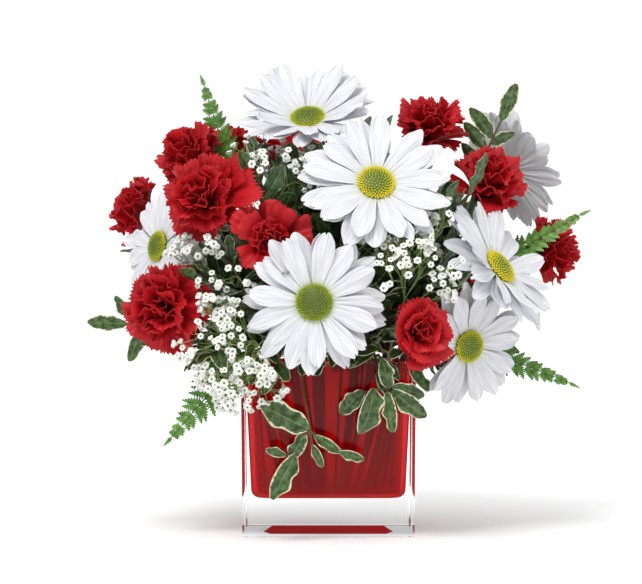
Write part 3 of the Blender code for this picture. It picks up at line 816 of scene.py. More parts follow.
def build_vase(settings):
    """The pressed glass block with its square well, the red film that lines the well, and a red
    patch on the underside that is a painted reflection.
    """
    half = VASE_HIGH.x
    glass = new_mesh()
    foot = rounded_square(glass, half - DRAFT, OUTER_CORNER, 0, CORNER_STEPS)
    under = foot.edges[:]
    top = drawn(glass, foot, RIM, half / (half - DRAFT))
    bmesh.ops.contextual_create(glass, geom=under)
    lip = top.edges[:]
    bmesh.ops.delete(glass, geom=[top], context="FACES_ONLY")
    mouth = well(glass, settings, 0.0, RIM)
    bmesh.ops.bridge_loops(glass, edges=lip + mouth)
    bmesh.ops.recalc_face_normals(glass, faces=glass.faces)
    sharp = [edge for edge in glass.edges if edge.calc_face_angle(0) > math.radians(60)]
    bmesh.ops.bevel(glass, geom=sharp, offset=EDGE_ROUND, offset_type="OFFSET", segments=3,
                    profile=0.5, affect="EDGES", material=-1)
    outwards(glass)
    add_piece("vase_glass_block", glass, [glass_material()], ["vase_glass"], 35,
              flat_sides=True)

    film = new_mesh()
    well(film, settings, FILM_GAP, RIM - FILM_BELOW_RIM)
    bmesh.ops.recalc_face_normals(film, faces=film.faces)
    bmesh.ops.solidify(film, geom=film.faces[:], thickness=settings.lacquer)
    outwards(film)
    paint(film, film.verts, FILM_CLEAR)
    # Painted reflection: a thin red sheet under the base, in the lacquer, for the red strip that
    # the well reflects into the clear glass.
    reflection_patch = new_mesh()
    face = reflection_patch.faces.new(
        [reflection_patch.verts.new((x * MM, y * MM, PATCH_ABOVE_FOOT)) for x, y in PATCH])
    face.normal_update()
    bmesh.ops.solidify(reflection_patch, geom=[face], thickness=PATCH_THICK)
    bmesh.ops.translate(
        reflection_patch, verts=reflection_patch.verts,
        vec=(0, 0, PATCH_ABOVE_FOOT - min(corner.co.z for corner in reflection_patch.verts)),
    )
    paint(reflection_patch, reflection_patch.verts, PATCH_CLEAR)
    put(film, reflection_patch)
    lacquer = lacquer_material(settings.lacquer_tint, settings.lacquer_body)
    add_piece("vase_red_lining", film, [lacquer], ["vase_red_coating"],
              35, flat_sides=True)


# -------------------------------------------------------------------------------- daisies


def ray(bm, turned, rng, size, reach, rise, settings):
    """One ray petal: narrow at its foot, broad and grooved further out, its tip notched."""
    hub = 6.5 * MM * size
    span = reach - hub
    half = settings.ray_width / 2 * size * rng.uniform(0.86, 1.08)
    first = rise + rng.uniform(-0.05, 0.05)
    last = rise + rng.uniform(-0.55, 0.16)
    cup = rng.uniform(-0.30, 0.34)
    bend = rng.uniform(-0.05, 0.05)
    twist = rng.uniform(-0.35, 0.35)
    notch = rng.choice((0.0, 0.03, 0.05, 0.07))
    notch_at = rng.uniform(-0.25, 0.25)
    wave = rng.uniform(0, math.tau)
    groove = 0.75 * MM * size

    def shape(across, along):
        wide = 0.40 + 0.60 * min(1.0, along / 0.55) ** 1.2
        past = max(0.0, (along - 0.66) / 0.34)
        wide *= math.sqrt(1 - 0.72 * past**2.4)
        tip = past * (0.085 * across**2 + notch * math.exp(-((across - notch_at) / 0.16) ** 2))
        out = hub + span * (along - tip)
        aside = half * wide * across + span * bend * along**2
        lift = span * (along * first + along**2 * (last - first) / 2)
        lift += cup * half * wide * across**2 * along
        lift -= groove * math.exp(-((abs(across) - 0.42) / 0.17) ** 2) * math.sin(
            math.pi * min(1.0, 0.12 + 0.83 * along))
        lift += 0.35 * MM * math.sin(9 * along + wave + 2 * across) * abs(across)
        turn = twist * along
        return turned @ Vector((
            out, aside * math.cos(turn), lift + half * wide * across * math.sin(turn)
        ))

    sheet(bm, 10, 12, shape, rng.random())


# How far the florets have opened, in the middle of a disc and at its rim.
RIPE = {"daisy_front": (0.12, 0.56), "daisy_high": (0.44, 1.0), "daisy_right": (0.5, 1.0),
        "daisy_low_right": (0.34, 0.8)}
# The topmost daisy hasn't opened flat yet, so its rays still stand up.
YOUNG = {"daisy_top": 0.34}


def build_daisies(settings):
    """Each daisy: two rings of white rays, and the stem, green cup and domed disc."""
    rays = ray_material(settings.ray_colour)
    disc = floret_material(settings.bud_colour, settings.floret_colour)
    green = stem_material("chrysanthemum_stem", linear("#5d7f35"), 0.5)
    for name, head in DAISIES.items():
        rng = seeded(name)
        size = head.reach / (42 * MM)
        petals = new_mesh()
        young = YOUNG.get(name, 0.0)
        for count, lift, rise, share in (
            (settings.outer_rays, 0.3 * MM, 0.10 + young, 1.0),
            (settings.inner_rays, 1.3 * MM, 0.24 + young, 0.93),
        ):
            for i in range(count):
                spin = math.tau * (i + rng.uniform(-0.22, 0.22)) / count + lift * 400
                turned = facing(head.centre + head.axis * lift, head.axis, spin)
                reach = head.reach * share * rng.uniform(0.93, 1.03)
                ray(petals, turned, rng, size, reach, rise, settings)
        add_piece(name + "_ray_petals", petals, [rays], [name + "_petals"])
        build_daisy_stem(name, head, rng, settings, [green, disc])


def build_daisy_stem(name, head, rng, settings, materials):
    """A daisy's stem, the cup of small green bracts behind its petals, and its disc."""
    stalk = DAISY_STALKS[name]
    body = new_mesh()
    path = smoothed([*stalk.path, head.centre - head.axis * 5 * MM], 4)
    tube(body, path, [stalk.radius] * len(path), 10)
    turned = facing(head.centre, head.axis)
    radius = settings.disc / 2 * min(1.05, head.reach / (41 * MM))
    cup = [(-8.0, 2.0), (-6.0, 5.2), (-3.2, 8.0), (-0.9, 8.6), (0.2, 7.0), (3.0, 6.4)]
    tube(body, [turned @ Vector((0, 0, h * MM)) for h, _ in cup], [r * MM for _, r in cup], 20)
    for row, (count, low, wide) in enumerate(((13, -5.5, 5.4), (13, -3.4, 7.6))):
        for i in range(count):
            spin = turned @ Matrix.Rotation(math.tau * (i + row / 2) / count, 4, "Z")

            def bract(across, along):
                narrow = 1.7 * MM * math.sqrt(max(0.02, 1 - along**2.2)) * across
                out = (wide + 2.4 * math.sin(along * 1.5)) * MM + 0.3 * MM * row
                return spin @ Vector((out, narrow, (low + 5.0 * along) * MM))

            sheet(body, 2, 4, bract)

    shut, ripe = RIPE.get(name, (0.2, 0.75))
    base = 2.2 * MM
    height = 4.4 * MM
    dome = new_mesh()
    bmesh.ops.create_uvsphere(
        dome, u_segments=24, v_segments=12, radius=1.0,
        matrix=turned @ Matrix.Translation((0, 0, base))
        @ Matrix.Diagonal((radius, radius, height, 1)),
    )
    paint(dome, dome.verts, 0.04, 1)
    put(body, dome)
    template = new_mesh()
    bmesh.ops.create_cone(template, cap_ends=True, cap_tris=False, segments=6,
                          radius1=0.66 * MM, radius2=0.36 * MM, depth=1.6 * MM)
    paint(template, template.verts, 0.5, 1)
    seeds = []
    for i in range(settings.florets):
        share = math.sqrt((i + 0.5) / settings.florets)
        spin = i * GOLDEN_TURN
        slope = share * 1.35
        at = Vector((math.cos(spin) * math.sin(slope), math.sin(spin) * math.sin(slope),
                     math.cos(slope)))
        on = Vector((at.x * radius, at.y * radius, base + at.z * height))
        out = Vector((at.x * 0.8, at.y * 0.8, at.z + 0.35)).normalized()
        tone = shut + (ripe - shut) * share**1.5 + rng.uniform(-0.08, 0.12)
        grown = 0.85 + 0.3 * share
        seeds.append((turned @ facing(on, out, spin) @ Matrix.Scale(grown, 4), tone))
    copies(body, template, seeds)
    add_piece(name + "_disc_cup_and_stem", body, materials,
              [name + "_stem_and_disc"])


# ----------------------------------------------------------------------------- carnations


def fan(bm, turned, rng, line, width, ruffle, radius):
    """One carnation petal: a narrow claw that opens into a fan with a waved, toothed edge."""
    first = (rng.uniform(2.2, 3.6), rng.uniform(0, math.tau))
    second = (rng.uniform(5.5, 8.5), rng.uniform(0, math.tau))
    teeth = [rng.uniform(0.01, 0.055) if i % 2 else rng.uniform(-0.045, 0.0)
             for i in range(25)]
    broad = (rng.uniform(2, 4), rng.uniform(0, math.tau))

    def shape(across, along):
        tooth = teeth[round((across + 1) * 12)] if along > 0.99 else 0.0
        t = along * (1 - 0.07 * across**2 + 0.05 * math.sin(broad[0] * across + broad[1]))
        t += tooth
        s = 1 - t
        a, b, c, d = line
        out = a[0] * s**3 + 3 * b[0] * s * s * t + 3 * c[0] * s * t * t + d[0] * t**3
        up = a[1] * s**3 + 3 * b[1] * s * s * t + 3 * c[1] * s * t * t + d[1] * t**3
        run = Vector((d[0] - c[0], d[1] - c[1])).normalized()
        push = ruffle * along**2 * (
            math.sin(first[0] * across + first[1])
            + 0.5 * math.sin(second[0] * across + second[1]))
        out += run.y * push
        up -= run.x * push
        aside = width / 2 * (0.16 + 0.84 * along**0.8) * across
        curl = 0.35 * radius
        turn = aside / (abs(out) + curl)
        return turned @ Vector((
            out * math.cos(turn), out * math.sin(turn) + 0.8 * aside * curl / (abs(out) + curl),
            up,
        ))

    sheet(bm, 24, 7, shape, rng.random())


# Rings of petals from the outside in: how many, where their edge ends beside the ball's
# radius as (out, up), their width beside it, and how ruffled they are beside the usual.
FULL = ((6, (1.04, 0.50), 1.05, 1.3), (7, (0.94, 0.84), 1.0, 1.5), (7, (0.70, 1.10), 0.9, 1.5),
        (7, (0.42, 1.26), 0.85, 1.4), (5, (0.14, 1.28), 0.8, 1.2))
OPEN = ((5, (1.18, 0.70), 1.0, 0.7), (3, (0.94, 0.98), 0.95, 0.9), (6, (0.46, 0.98), 0.7, 1.4),
        (7, (0.28, 1.08), 0.6, 1.4), (5, (0.10, 1.10), 0.5, 1.3))
ROSE = ((5, (0.98, 0.92), 1.75, 0.25), (5, (0.84, 1.20), 1.5, 0.3), (5, (0.60, 1.22), 1.1, 0.7),
        (6, (0.36, 1.16), 0.8, 1.3), (5, (0.12, 1.12), 0.6, 1.3))
FORMS = {"carnation_centre_left": OPEN, "carnation_low_right": ROSE}
# One flower has two petals that stand out from its ball: where each turns to, its length
# beside the ball's radius and its width beside it.
LOOSE = {"carnation_upper_left": ((0.12, 1.50, 1.05), (0.62, 1.36, 0.8))}


def green_scale(body, spin, grid, half, least, power, out, low):
    """One pointed green scale wrapped round a calyx; out and low give its foot and its run."""

    def shape(across, along):
        narrow = half * MM * max(least, 1 - along**power) * across
        wide = (out[0] + out[1] * along) * MM
        turn = narrow / wide
        return spin @ Vector((wide * math.cos(turn), wide * math.sin(turn),
                              (low[0] + low[1] * along) * MM))

    sheet(body, *grid, shape)


def build_carnations(settings):
    """Each carnation: a ball of ruffled petals, and the stem with its toothed calyx."""
    petal = carnation_material(settings.petal_colour, settings.edge_colour)
    green = stem_material("carnation_calyx", settings.calyx_colour, 0.55)
    for name, head in CARNATIONS.items():
        rng = seeded(name)
        base = head.centre - head.axis * 0.75 * head.reach
        size = head.reach
        ball = new_mesh()
        for ring, (count, (out, up), width, wave) in enumerate(FORMS.get(name, FULL)):
            for i in range(count):
                spin = math.tau * (i + 0.37 * ring + rng.uniform(-0.2, 0.2)) / count
                grown = rng.uniform(0.86, 1.07)
                tilt = rng.uniform(-0.13, 0.13)
                end = (out * size * grown + tilt * size, up * size * grown - tilt * size)
                line = (
                    (1.2 * MM, -3 * MM),
                    (1.8 * MM + 0.10 * end[0], 0.50 * end[1]),
                    (0.62 * end[0], end[1] * (0.80 + 0.22 * out)),
                    end,
                )
                turned = facing(base, head.axis, spin)
                fan(ball, turned, rng, line, width * size, settings.ruffle * wave, size)
        for spin, out, width in LOOSE.get(name, ()):
            line = ((1.2 * MM, -3 * MM), (3 * MM, 0.30 * size), (0.7 * size, 0.75 * size),
                    (out * size, 0.85 * size))
            fan(ball, facing(base, head.axis, spin), rng, line, width * size,
                settings.ruffle * 0.7, size)
        add_piece(name + "_petal_ball", ball, [petal], [name + "_petals"], 60)

        build_carnation_stem(name, base - head.axis * 0.3 * MM, head.axis, green)


def build_carnation_stem(name, top, axis, green):
    """A carnation's stem with its swollen nodes, and the toothed calyx under its petals."""
    stalk = CARNATION_STALKS[name]
    body = new_mesh()
    path = smoothed([*stalk.path, top - axis * 16 * MM], 4)
    swell = [stalk.radius * (1.5 if 0 < i < len(path) - 8 and i % 9 == 0 else 1.0)
             for i in range(len(path))]
    tube(body, path, swell, 8)
    cup = ((-18.0, 1.6), (-16.5, 3.0), (-12.0, 3.7), (-6.0, 4.1), (-2.5, 4.5))
    tube(body, [top + axis * h * MM for h, _ in cup], [r * MM for _, r in cup], 15)
    for i in range(5):
        spin = facing(top, axis, math.tau * (i + 0.5) / 5)
        green_scale(body, spin, (4, 4), 2.8, 0.06, 1.5, (4.4, 0.9), (-3.2, 5.5))
    for i in range(4):
        spin = facing(top, axis, math.tau * i / 4)
        green_scale(body, spin, (2, 3), 2.2, 0.05, 2, (3.4, 0.5), (-17, 6))
    add_piece(name + "_calyx_and_stem", body, [green],
              [name + "_stem_and_calyx"])


# ------------------------------------------------------------------------------- greenery


# Leaves stay this far off the glass.
OFF_GLASS = 0.9 * MM


def out_of_glass(point, over):
    """Moves a point of a leaf just off the glass: beside it or, from within, above its rim."""
    room = VASE_HIGH.x + OFF_GLASS
    if point.z > RIM + OFF_GLASS or max(abs(point.x), abs(point.y)) > room:
        return point
    if not over:
        return Vector((point.x, point.y, RIM + OFF_GLASS))
    if abs(point.y) > abs(point.x):
        return Vector((point.x, math.copysign(room, point.y), point.z))
    return Vector((math.copysign(room, point.x), point.y, point.z))


def leaf(bm, at, along, up, size, width, rng, wavy=1.0, slot=0):
    """One leaf blade, broadest past its middle, with a wavy margin and a bent midrib."""
    side = along.cross(up).normalized()
    up = side.cross(along).normalized()
    curl = rng.uniform(-0.42, 0.08)
    fold = rng.uniform(-0.05, 0.42)
    waves = (rng.uniform(11, 17), rng.uniform(0, math.tau), rng.uniform(0, math.tau))
    sway = rng.uniform(-0.10, 0.10)
    over = max(abs(at.x), abs(at.y)) > VASE_HIGH.x

    def shape(across, t):
        wide = math.sin(math.pi * min(1, 0.035 + 0.95 * t**0.85)) ** 0.62
        wide *= 0.72 + 0.42 * t
        wave = math.sin(waves[0] * t + waves[1 if across > 0 else 2])
        aside = width / 2 * wide * across * (1 + 0.07 * wavy * wave)
        lift = size * (0.10 * t + curl * t * t) + abs(aside) * fold
        lift += 0.09 * width * wavy * wave * across**2 * wide
        return out_of_glass(at + along * size * (t - 0.10 * t * t * abs(curl)) + side * (
            aside + size * sway * t * t) + up * lift, over)

    sheet(bm, 6, 12, shape, rng.random(), slot=slot)


def place_on(frames, share, up):
    """Part of the way up a twig: the point, the way it runs, its upper way and its side."""
    turned = frames[min(len(frames) - 1, round(share * (len(frames) - 1)))]
    along = turned.col[2].to_3d()
    top = (up - along * up.dot(along)).normalized()
    return turned.translation.copy(), along, top, along.cross(top)


def sprig(bm, path, up, rng, settings, leaves, size=1.0, spread=58, slot=0):
    """Leaves up a twig: one at its tip, the others on alternate sides below it."""
    frames = frames_along(path)
    for i in range(leaves):
        share = 1 - (i + rng.uniform(-0.3, 0.3) * (i > 0)) / leaves * 0.86
        at, along, top, side = place_on(frames, share, up)
        turn = 0.2 if i == 0 else (-1) ** i * math.radians(55 + rng.uniform(-25, 35))
        out = top * math.cos(turn) + side * math.sin(turn)
        lean = math.radians(12 if i == 0 else spread + rng.uniform(-26, 18))
        towards = (along * math.cos(lean) + out * math.sin(lean)).normalized()
        if not clear_of_heads(at + towards * settings.leaf * size * 0.8, -1 * MM):
            continue
        grown = size * rng.uniform(0.72, 1.12)
        face_up = (top + out * 0.3 + UP * 0.3 + shaken(rng, 0.7)).normalized()
        leaf(bm, at, towards, face_up, settings.leaf * grown, settings.leaf * 0.44 * grown, rng,
             slot=slot)


# Two twigs hang over the rim. For each: where its node lies from the packed tip, then its
# leaves by where they start from the node, which way they go, their length and their width,
# all in millimetres.
HANGING = {
    "pittosporum_front": ((13, 14, 22), (
        ((-1, -1, 1), (-28, -5, 13), 31, 16), ((-3, -1, -2), (-9, -3, -15), 17, 10),
        ((-8, -3, -13), (-15, -2, -25), 29, 13), ((-14, -2, -14), (-13, 0, 3), 12, 6),
        ((1, -1, -8), (6, -2, -12), 14, 6), ((2, 0, -3), (15, -3, -9), 18, 7),
        ((16, -2, -12), (14, -1, -3), 15, 6.5),
    )),
    "pittosporum_low_right": ((1, 16, 14), (
        ((-9, -3, 0), (-2, -3, -27), 27, 15), ((-1, -5, -2), (3, -2, -23), 23, 9),
        ((2, 0, -1), (18, -2, -17), 25, 12), ((2, 0, 1), (19, 2, -4), 20, 9),
        ((-14, 2, -2), (-15, 0, -12), 19, 11), ((0, 0, 0), (-4, -6, 16), 17, 10),
    )),
}


def hang(bm, name, node, rng):
    """Leaves that hang from a node in front of the glass, each on its own short stalk."""
    for start, towards, long, wide in HANGING[name][1]:
        at = node + Vector(start) * MM
        along = Vector(towards).normalized()
        face_up = Vector((rng.uniform(-0.5, 0.5), -1, rng.uniform(-0.3, 0.5)))
        leaf(bm, at, along, face_up, long * MM, wide * MM, rng, 1.8)
        if Vector(start).length > 3:
            middle = (node + at) / 2 - Vector((0, 0, 0.6)) * MM
            tube(bm, [node, middle, at], [0.5 * MM] * 3, 5, slot=1)


# Twigs that differ: how far short of the packed tip they end, in millimetres, then the size
# and the spread of their leaves beside the usual ones.
TWIGS = {"pittosporum_top_right": (37, 0.84, 72), "pittosporum_left": (38, 0.9, 62)}


def build_pittosporum(settings):
    """Each twig of small variegated leaves, from the vase's floor to its tip."""
    blade = leaf_material("pittosporum_leaf", settings.leaf_colour, settings.margin_colour, 0.545)
    twig = stem_material("woody_twig", linear("#5a4a33"), 0.65)
    for name in nodes_like("pittosporum"):
        rng = seeded(name)
        stalk = Stalk(name)
        tip, heading = stalk.tip()
        body = new_mesh()
        if name in HANGING:
            path = smoothed([*stalk.path, tip + Vector(HANGING[name][0]) * MM], 5)
            hang(body, name, path[-1], rng)
        else:
            short, size, spread = TWIGS.get(name, (28, 1.0, 58))
            up = middle_of(stalk.beyond) - (stalk.end + tip) / 2
            up = (up - heading * up.dot(heading)).normalized()
            path = smoothed([*stalk.path, tip - heading * short * MM], 5)
            sprig(body, evenly(path, 30, 50 * MM), up, rng, settings, 8, size, spread)
        tapered(body, path, stalk.radius, 0.5)
        add_piece(name + "_sprig", body, [blade, twig], [name])


def pinna(bm, at, along, up, size, width, rng):
    """One fern pinna: a narrow blade cut into pointed lobes along both sides."""
    side = along.cross(up).normalized()
    up = side.cross(along).normalized()
    rows = 4 * 7  # seven lobes, each of four rows
    droop = rng.uniform(-0.18, -0.04)
    sway = rng.uniform(-0.05, 0.10)

    def shape(across, t):
        phase = t * rows % 4
        cut = (0.32, 0.74, 1.0, 0.84)[int(round(phase)) % 4]
        wide = cut * (1 - t) ** 0.7 * min(1.0, 0.5 + 2.5 * t) + 0.03
        forward = t + 0.10 * abs(across) * (1 - t) * cut
        aside = width / 2 * wide * across
        return at + along * size * forward + side * (aside + sway * size * t * t) + up * (
            size * droop * t * t - abs(aside) * 0.25)

    sheet(bm, 2, rows, shape, rng.random())


def frond(bm, path, up, leafy, width, rng, pairs=15):
    """Pinnae on both sides of a midrib, longest near its foot."""
    frames = frames_along(path)
    for i in range(pairs):
        share = 0.06 + 0.90 * i / (pairs - 1)
        at, along, top, side = place_on(frames, share, up)
        reach = width / 2 * (1 - 0.86 * share**1.2) * min(1, 0.78 + share * 2)
        for sign in (-1, 1):
            towards = (side * sign + along * (0.42 + 0.35 * share)).normalized()
            pinna(bm, at, towards, top, reach * rng.uniform(0.92, 1.05) * 1.12,
                  leafy / pairs * 1.6, rng)
    end = frames[-1]
    pinna(bm, path[-1], end.col[2].to_3d(), up, leafy * 0.10, leafy / pairs * 0.9, rng)


# The leafy length of a frond.
LEAFY = 74 * MM


def build_ferns(settings):
    """Each fern frond, from the vase's floor to its tip."""
    blade = fern_material(settings.fern_colour)
    rib = stem_material("fern_midrib", linear("#56702c"), 0.5)
    for name in nodes_like("fern"):
        rng = seeded(name)
        stalk = Stalk(name)
        tip, heading = stalk.tip()
        middle = middle_of(stalk.beyond)
        spread = max(
            ((p - middle) - heading * (p - middle).dot(heading) for p in stalk.beyond),
            key=lambda offset: offset.length,
        )
        up = heading.cross(spread).normalized()
        if up.dot(Vector((middle.x, middle.y, 0)).normalized() + UP) < 0:
            up.negate()
        body = new_mesh()
        sag = up * (tip - stalk.end).length * 0.05
        path = smoothed([*stalk.path, (stalk.end + tip) / 2 + sag, tip], 6)
        frond(body, evenly(path, 40, LEAFY), up, LEAFY, 2.3 * spread.length, rng)
        tapered(body, path, stalk.radius, 0.75)
        add_piece(name + "_frond", body, [blade, rib], [name])


def bloom_shape(size):
    """One bloom of a few dozen faces: a lobed white cup round a small dark eye."""
    part = new_mesh()
    made = bmesh.ops.create_circle(
        part, cap_ends=True, segments=12, radius=0.12 * size,
        matrix=Matrix.Translation((0, 0, -0.42 * size)),
    )["verts"]
    paint(part, made, 0.2)
    edges = part.edges[:]
    for radius, height, lobe, tone in (
        (0.30, -0.12, 0.0, 0.45), (0.50, 0.06, 0.20, 1.0), (0.36, 0.12, -0.10, 0.8),
        (0.24, 0.20, 0.22, 1.0), (0.10, 0.04, 0.0, 0.10),
    ):
        ring, edges = grown_ring(part, edges, Matrix(), Matrix())
        for corner in ring:
            angle = math.atan2(corner.co.y, corner.co.x)
            wave = 1 - lobe * (0.5 - 0.5 * math.cos(6 * angle))
            corner.co = Vector((math.cos(angle) * radius * wave, math.sin(angle) * radius * wave,
                                height + 0.05 * math.cos(3 * angle) * abs(lobe) * 5)) * size
        paint(part, ring, tone)
    bmesh.ops.contextual_create(part, geom=edges)
    return part


def spray(base, heading, reach, levels, rng, ends, twigs):
    """Forks a fine stem again and again, and notes where each last twig ends."""
    end = base + heading * reach
    if not clear_of_heads(end, -1 * MM):
        return
    twigs.append((base, end, 0.16 * MM + 0.09 * MM * levels))
    if levels == 0:
        ends.append((end, heading))
        return
    forks = 3 if levels > 2 else 2
    for i in range(forks):
        turned = facing(Vector(), heading, rng.uniform(0, math.tau))
        lean = math.radians(rng.uniform(18, 46))
        spin = math.tau * i / forks + rng.uniform(-0.4, 0.4)
        out = turned @ Vector((math.cos(spin) * math.sin(lean), math.sin(spin) * math.sin(lean),
                               math.cos(lean)))
        spray(end, out.normalized(), reach * rng.uniform(0.66, 0.90), levels - 1, rng, ends,
              twigs)


# One cloud forks more often from its stem than the others, which have seven forks.
MAIN_FORKS = {"gypsophila_low_left": 9}


def build_gypsophila(settings):
    """Each cloud of baby's breath, forked finely from its one stem."""
    bloom = bloom_material(settings.bloom_colour)
    green = stem_material("gypsophila_stalk", linear("#8da05c"), 0.5)
    for name in nodes_like("gypsophila"):
        rng = seeded(name)
        stalk = Stalk(name)
        middle = middle_of(stalk.beyond)
        heading = (middle - stalk.end).normalized()
        ends, twigs = [], []
        for i in range(MAIN_FORKS.get(name, 7)):
            turned = facing(Vector(), heading, math.tau * i / 4 + rng.uniform(-0.5, 0.5))
            lean = math.radians(rng.uniform(10, 68))
            out = turned @ Vector((math.sin(lean), 0, math.cos(lean)))
            spray(stalk.end, out.normalized(), rng.uniform(13, 18) * MM, 4, rng, ends, twigs)
        body = new_mesh()
        placements = [
            (facing(at, (out + Vector((0, -0.5, 0.3))).normalized(), rng.uniform(0, math.tau))
             @ Matrix.Scale(rng.uniform(0.75, 1.1), 4), None)
            for at, out in ends
        ]
        copies(body, bloom_shape(settings.floret), placements)
        for start, end, radius in twigs:
            tube(body, [start, end], [radius, radius * 0.8], 4, slot=1)
        tapered(body, smoothed(stalk.path, 4), stalk.radius, 0.4)
        add_piece(name + "_cloud", body, [bloom, green], [name])


INNER_TWIGS = 140
# The inner twigs fan out from a point this high above the rim.
CORE_ABOVE_RIM = 22 * MM
COLLAR_TWIGS = 32
# A collar twig starts inside the mouth, passes over the rim and ends past it: how far out.
COLLAR_ROOT = 34 * MM
COLLAR_OVER = 52 * MM
COLLAR_TIP = (58, 68)


def build_inner_foliage(settings):
    """The short leafy twigs that fill the gaps behind the flower heads, and the collar."""
    # Painted shade: the leaves among the heads, with their margins, are a darker copy of the
    # collar leaves, for the shade they lie in; every fourth twig keeps the paler leaves. The
    # twigs here and in the collar are a darker, shaded copy of the woody twig.
    dark = leaf_material("shaded_foliage", linear("#2f4a1f"), linear("#9aa878"), 0.60)
    pale = leaf_material("collar_leaf", settings.leaf_colour, settings.margin_colour, 0.56)
    twig = stem_material("shaded_twig", linear("#3c3a22"), 0.7)
    core = UP * (RIM + CORE_ABOVE_RIM)
    for part, (low, high) in {"left": (-math.pi, -0.3), "right": (-0.3, math.pi)}.items():
        rng = seeded("inner_foliage_" + part)
        body = new_mesh()
        paths = []
        for i in range(INNER_TWIGS):
            share = (i + 0.5) / INNER_TWIGS
            height = 1 - 1.25 * share
            spin = i * GOLDEN_TURN
            out = Vector((math.sin(spin) * math.sqrt(max(0, 1 - height**2)),
                          -math.cos(spin) * math.sqrt(max(0, 1 - height**2)), height))
            out = (out + shaken(rng, 0.22)).normalized()
            turn = math.atan2(out.x, -out.y)
            if not low <= turn < high:
                continue
            near = max(HEADS, key=lambda head: (head.centre - core).normalized().dot(out))
            reach = (near.centre - core).length * rng.uniform(0.55, 0.90)
            tip = core + out * reach
            if tip.z < RIM + 4 * MM or not clear_of_heads(tip):
                continue
            start = core + Vector((out.x * 15, out.y * 15, -12)) * MM
            path = smoothed([start, (start + tip) / 2 + UP * 4 * MM, tip], 6)
            paths.append(path)
            sprig(body, path[3:], UP + out, rng, settings, 7, 0.95, 62, 0 if i % 4 else 2)
        fine_twigs(body, paths)
        add_piece("inner_foliage_" + part, body, [dark, twig, pale])
    build_collar(settings, [pale, twig])


def build_collar(settings, materials):
    """The leafy twigs that hang out over the rim all round and hide it."""
    rng = seeded("collar")
    body = new_mesh()
    paths = []
    for i in range(COLLAR_TWIGS):
        turn = math.tau * (i + rng.uniform(-0.3, 0.3)) / COLLAR_TWIGS
        out = Vector((math.sin(turn), -math.cos(turn), 0))
        edge = 1 / max(abs(out.x), abs(out.y))
        start = out * edge * COLLAR_ROOT + UP * (RIM + 6 * MM)
        over = out * edge * COLLAR_OVER + UP * (RIM + 13 * MM)
        tip = out * edge * rng.uniform(*COLLAR_TIP) * MM + UP * (
            RIM + rng.uniform(-7, 6) * MM)
        path = smoothed([start, over, tip], 6)
        paths.append(path)
        sprig(body, path[4:], UP * 0.4 + out, rng, settings, 5, 0.8, 55)
    fine_twigs(body, paths)
    add_piece("rim_collar_leaves", body, materials)


# ---------------------------------------------------------------------------------- stage


# Each softbox: where it hangs, its width in metres and its power in watts.
SOFTBOXES = {
    "key_softbox": ((-0.4, -0.9, 1.35), 0.7, 16),
    "fill_softbox": ((1.1, -1.1, 0.8), 0.8, 5),
}
LIT = Vector((0, 0, 0.15))
# The camera looks level from in front, through a long lens in millimetres.
CAMERA_AT = (-0.0043, -1.3, 0.142)
CAMERA_LENS = 121
FLOOR_REACH = 12.0


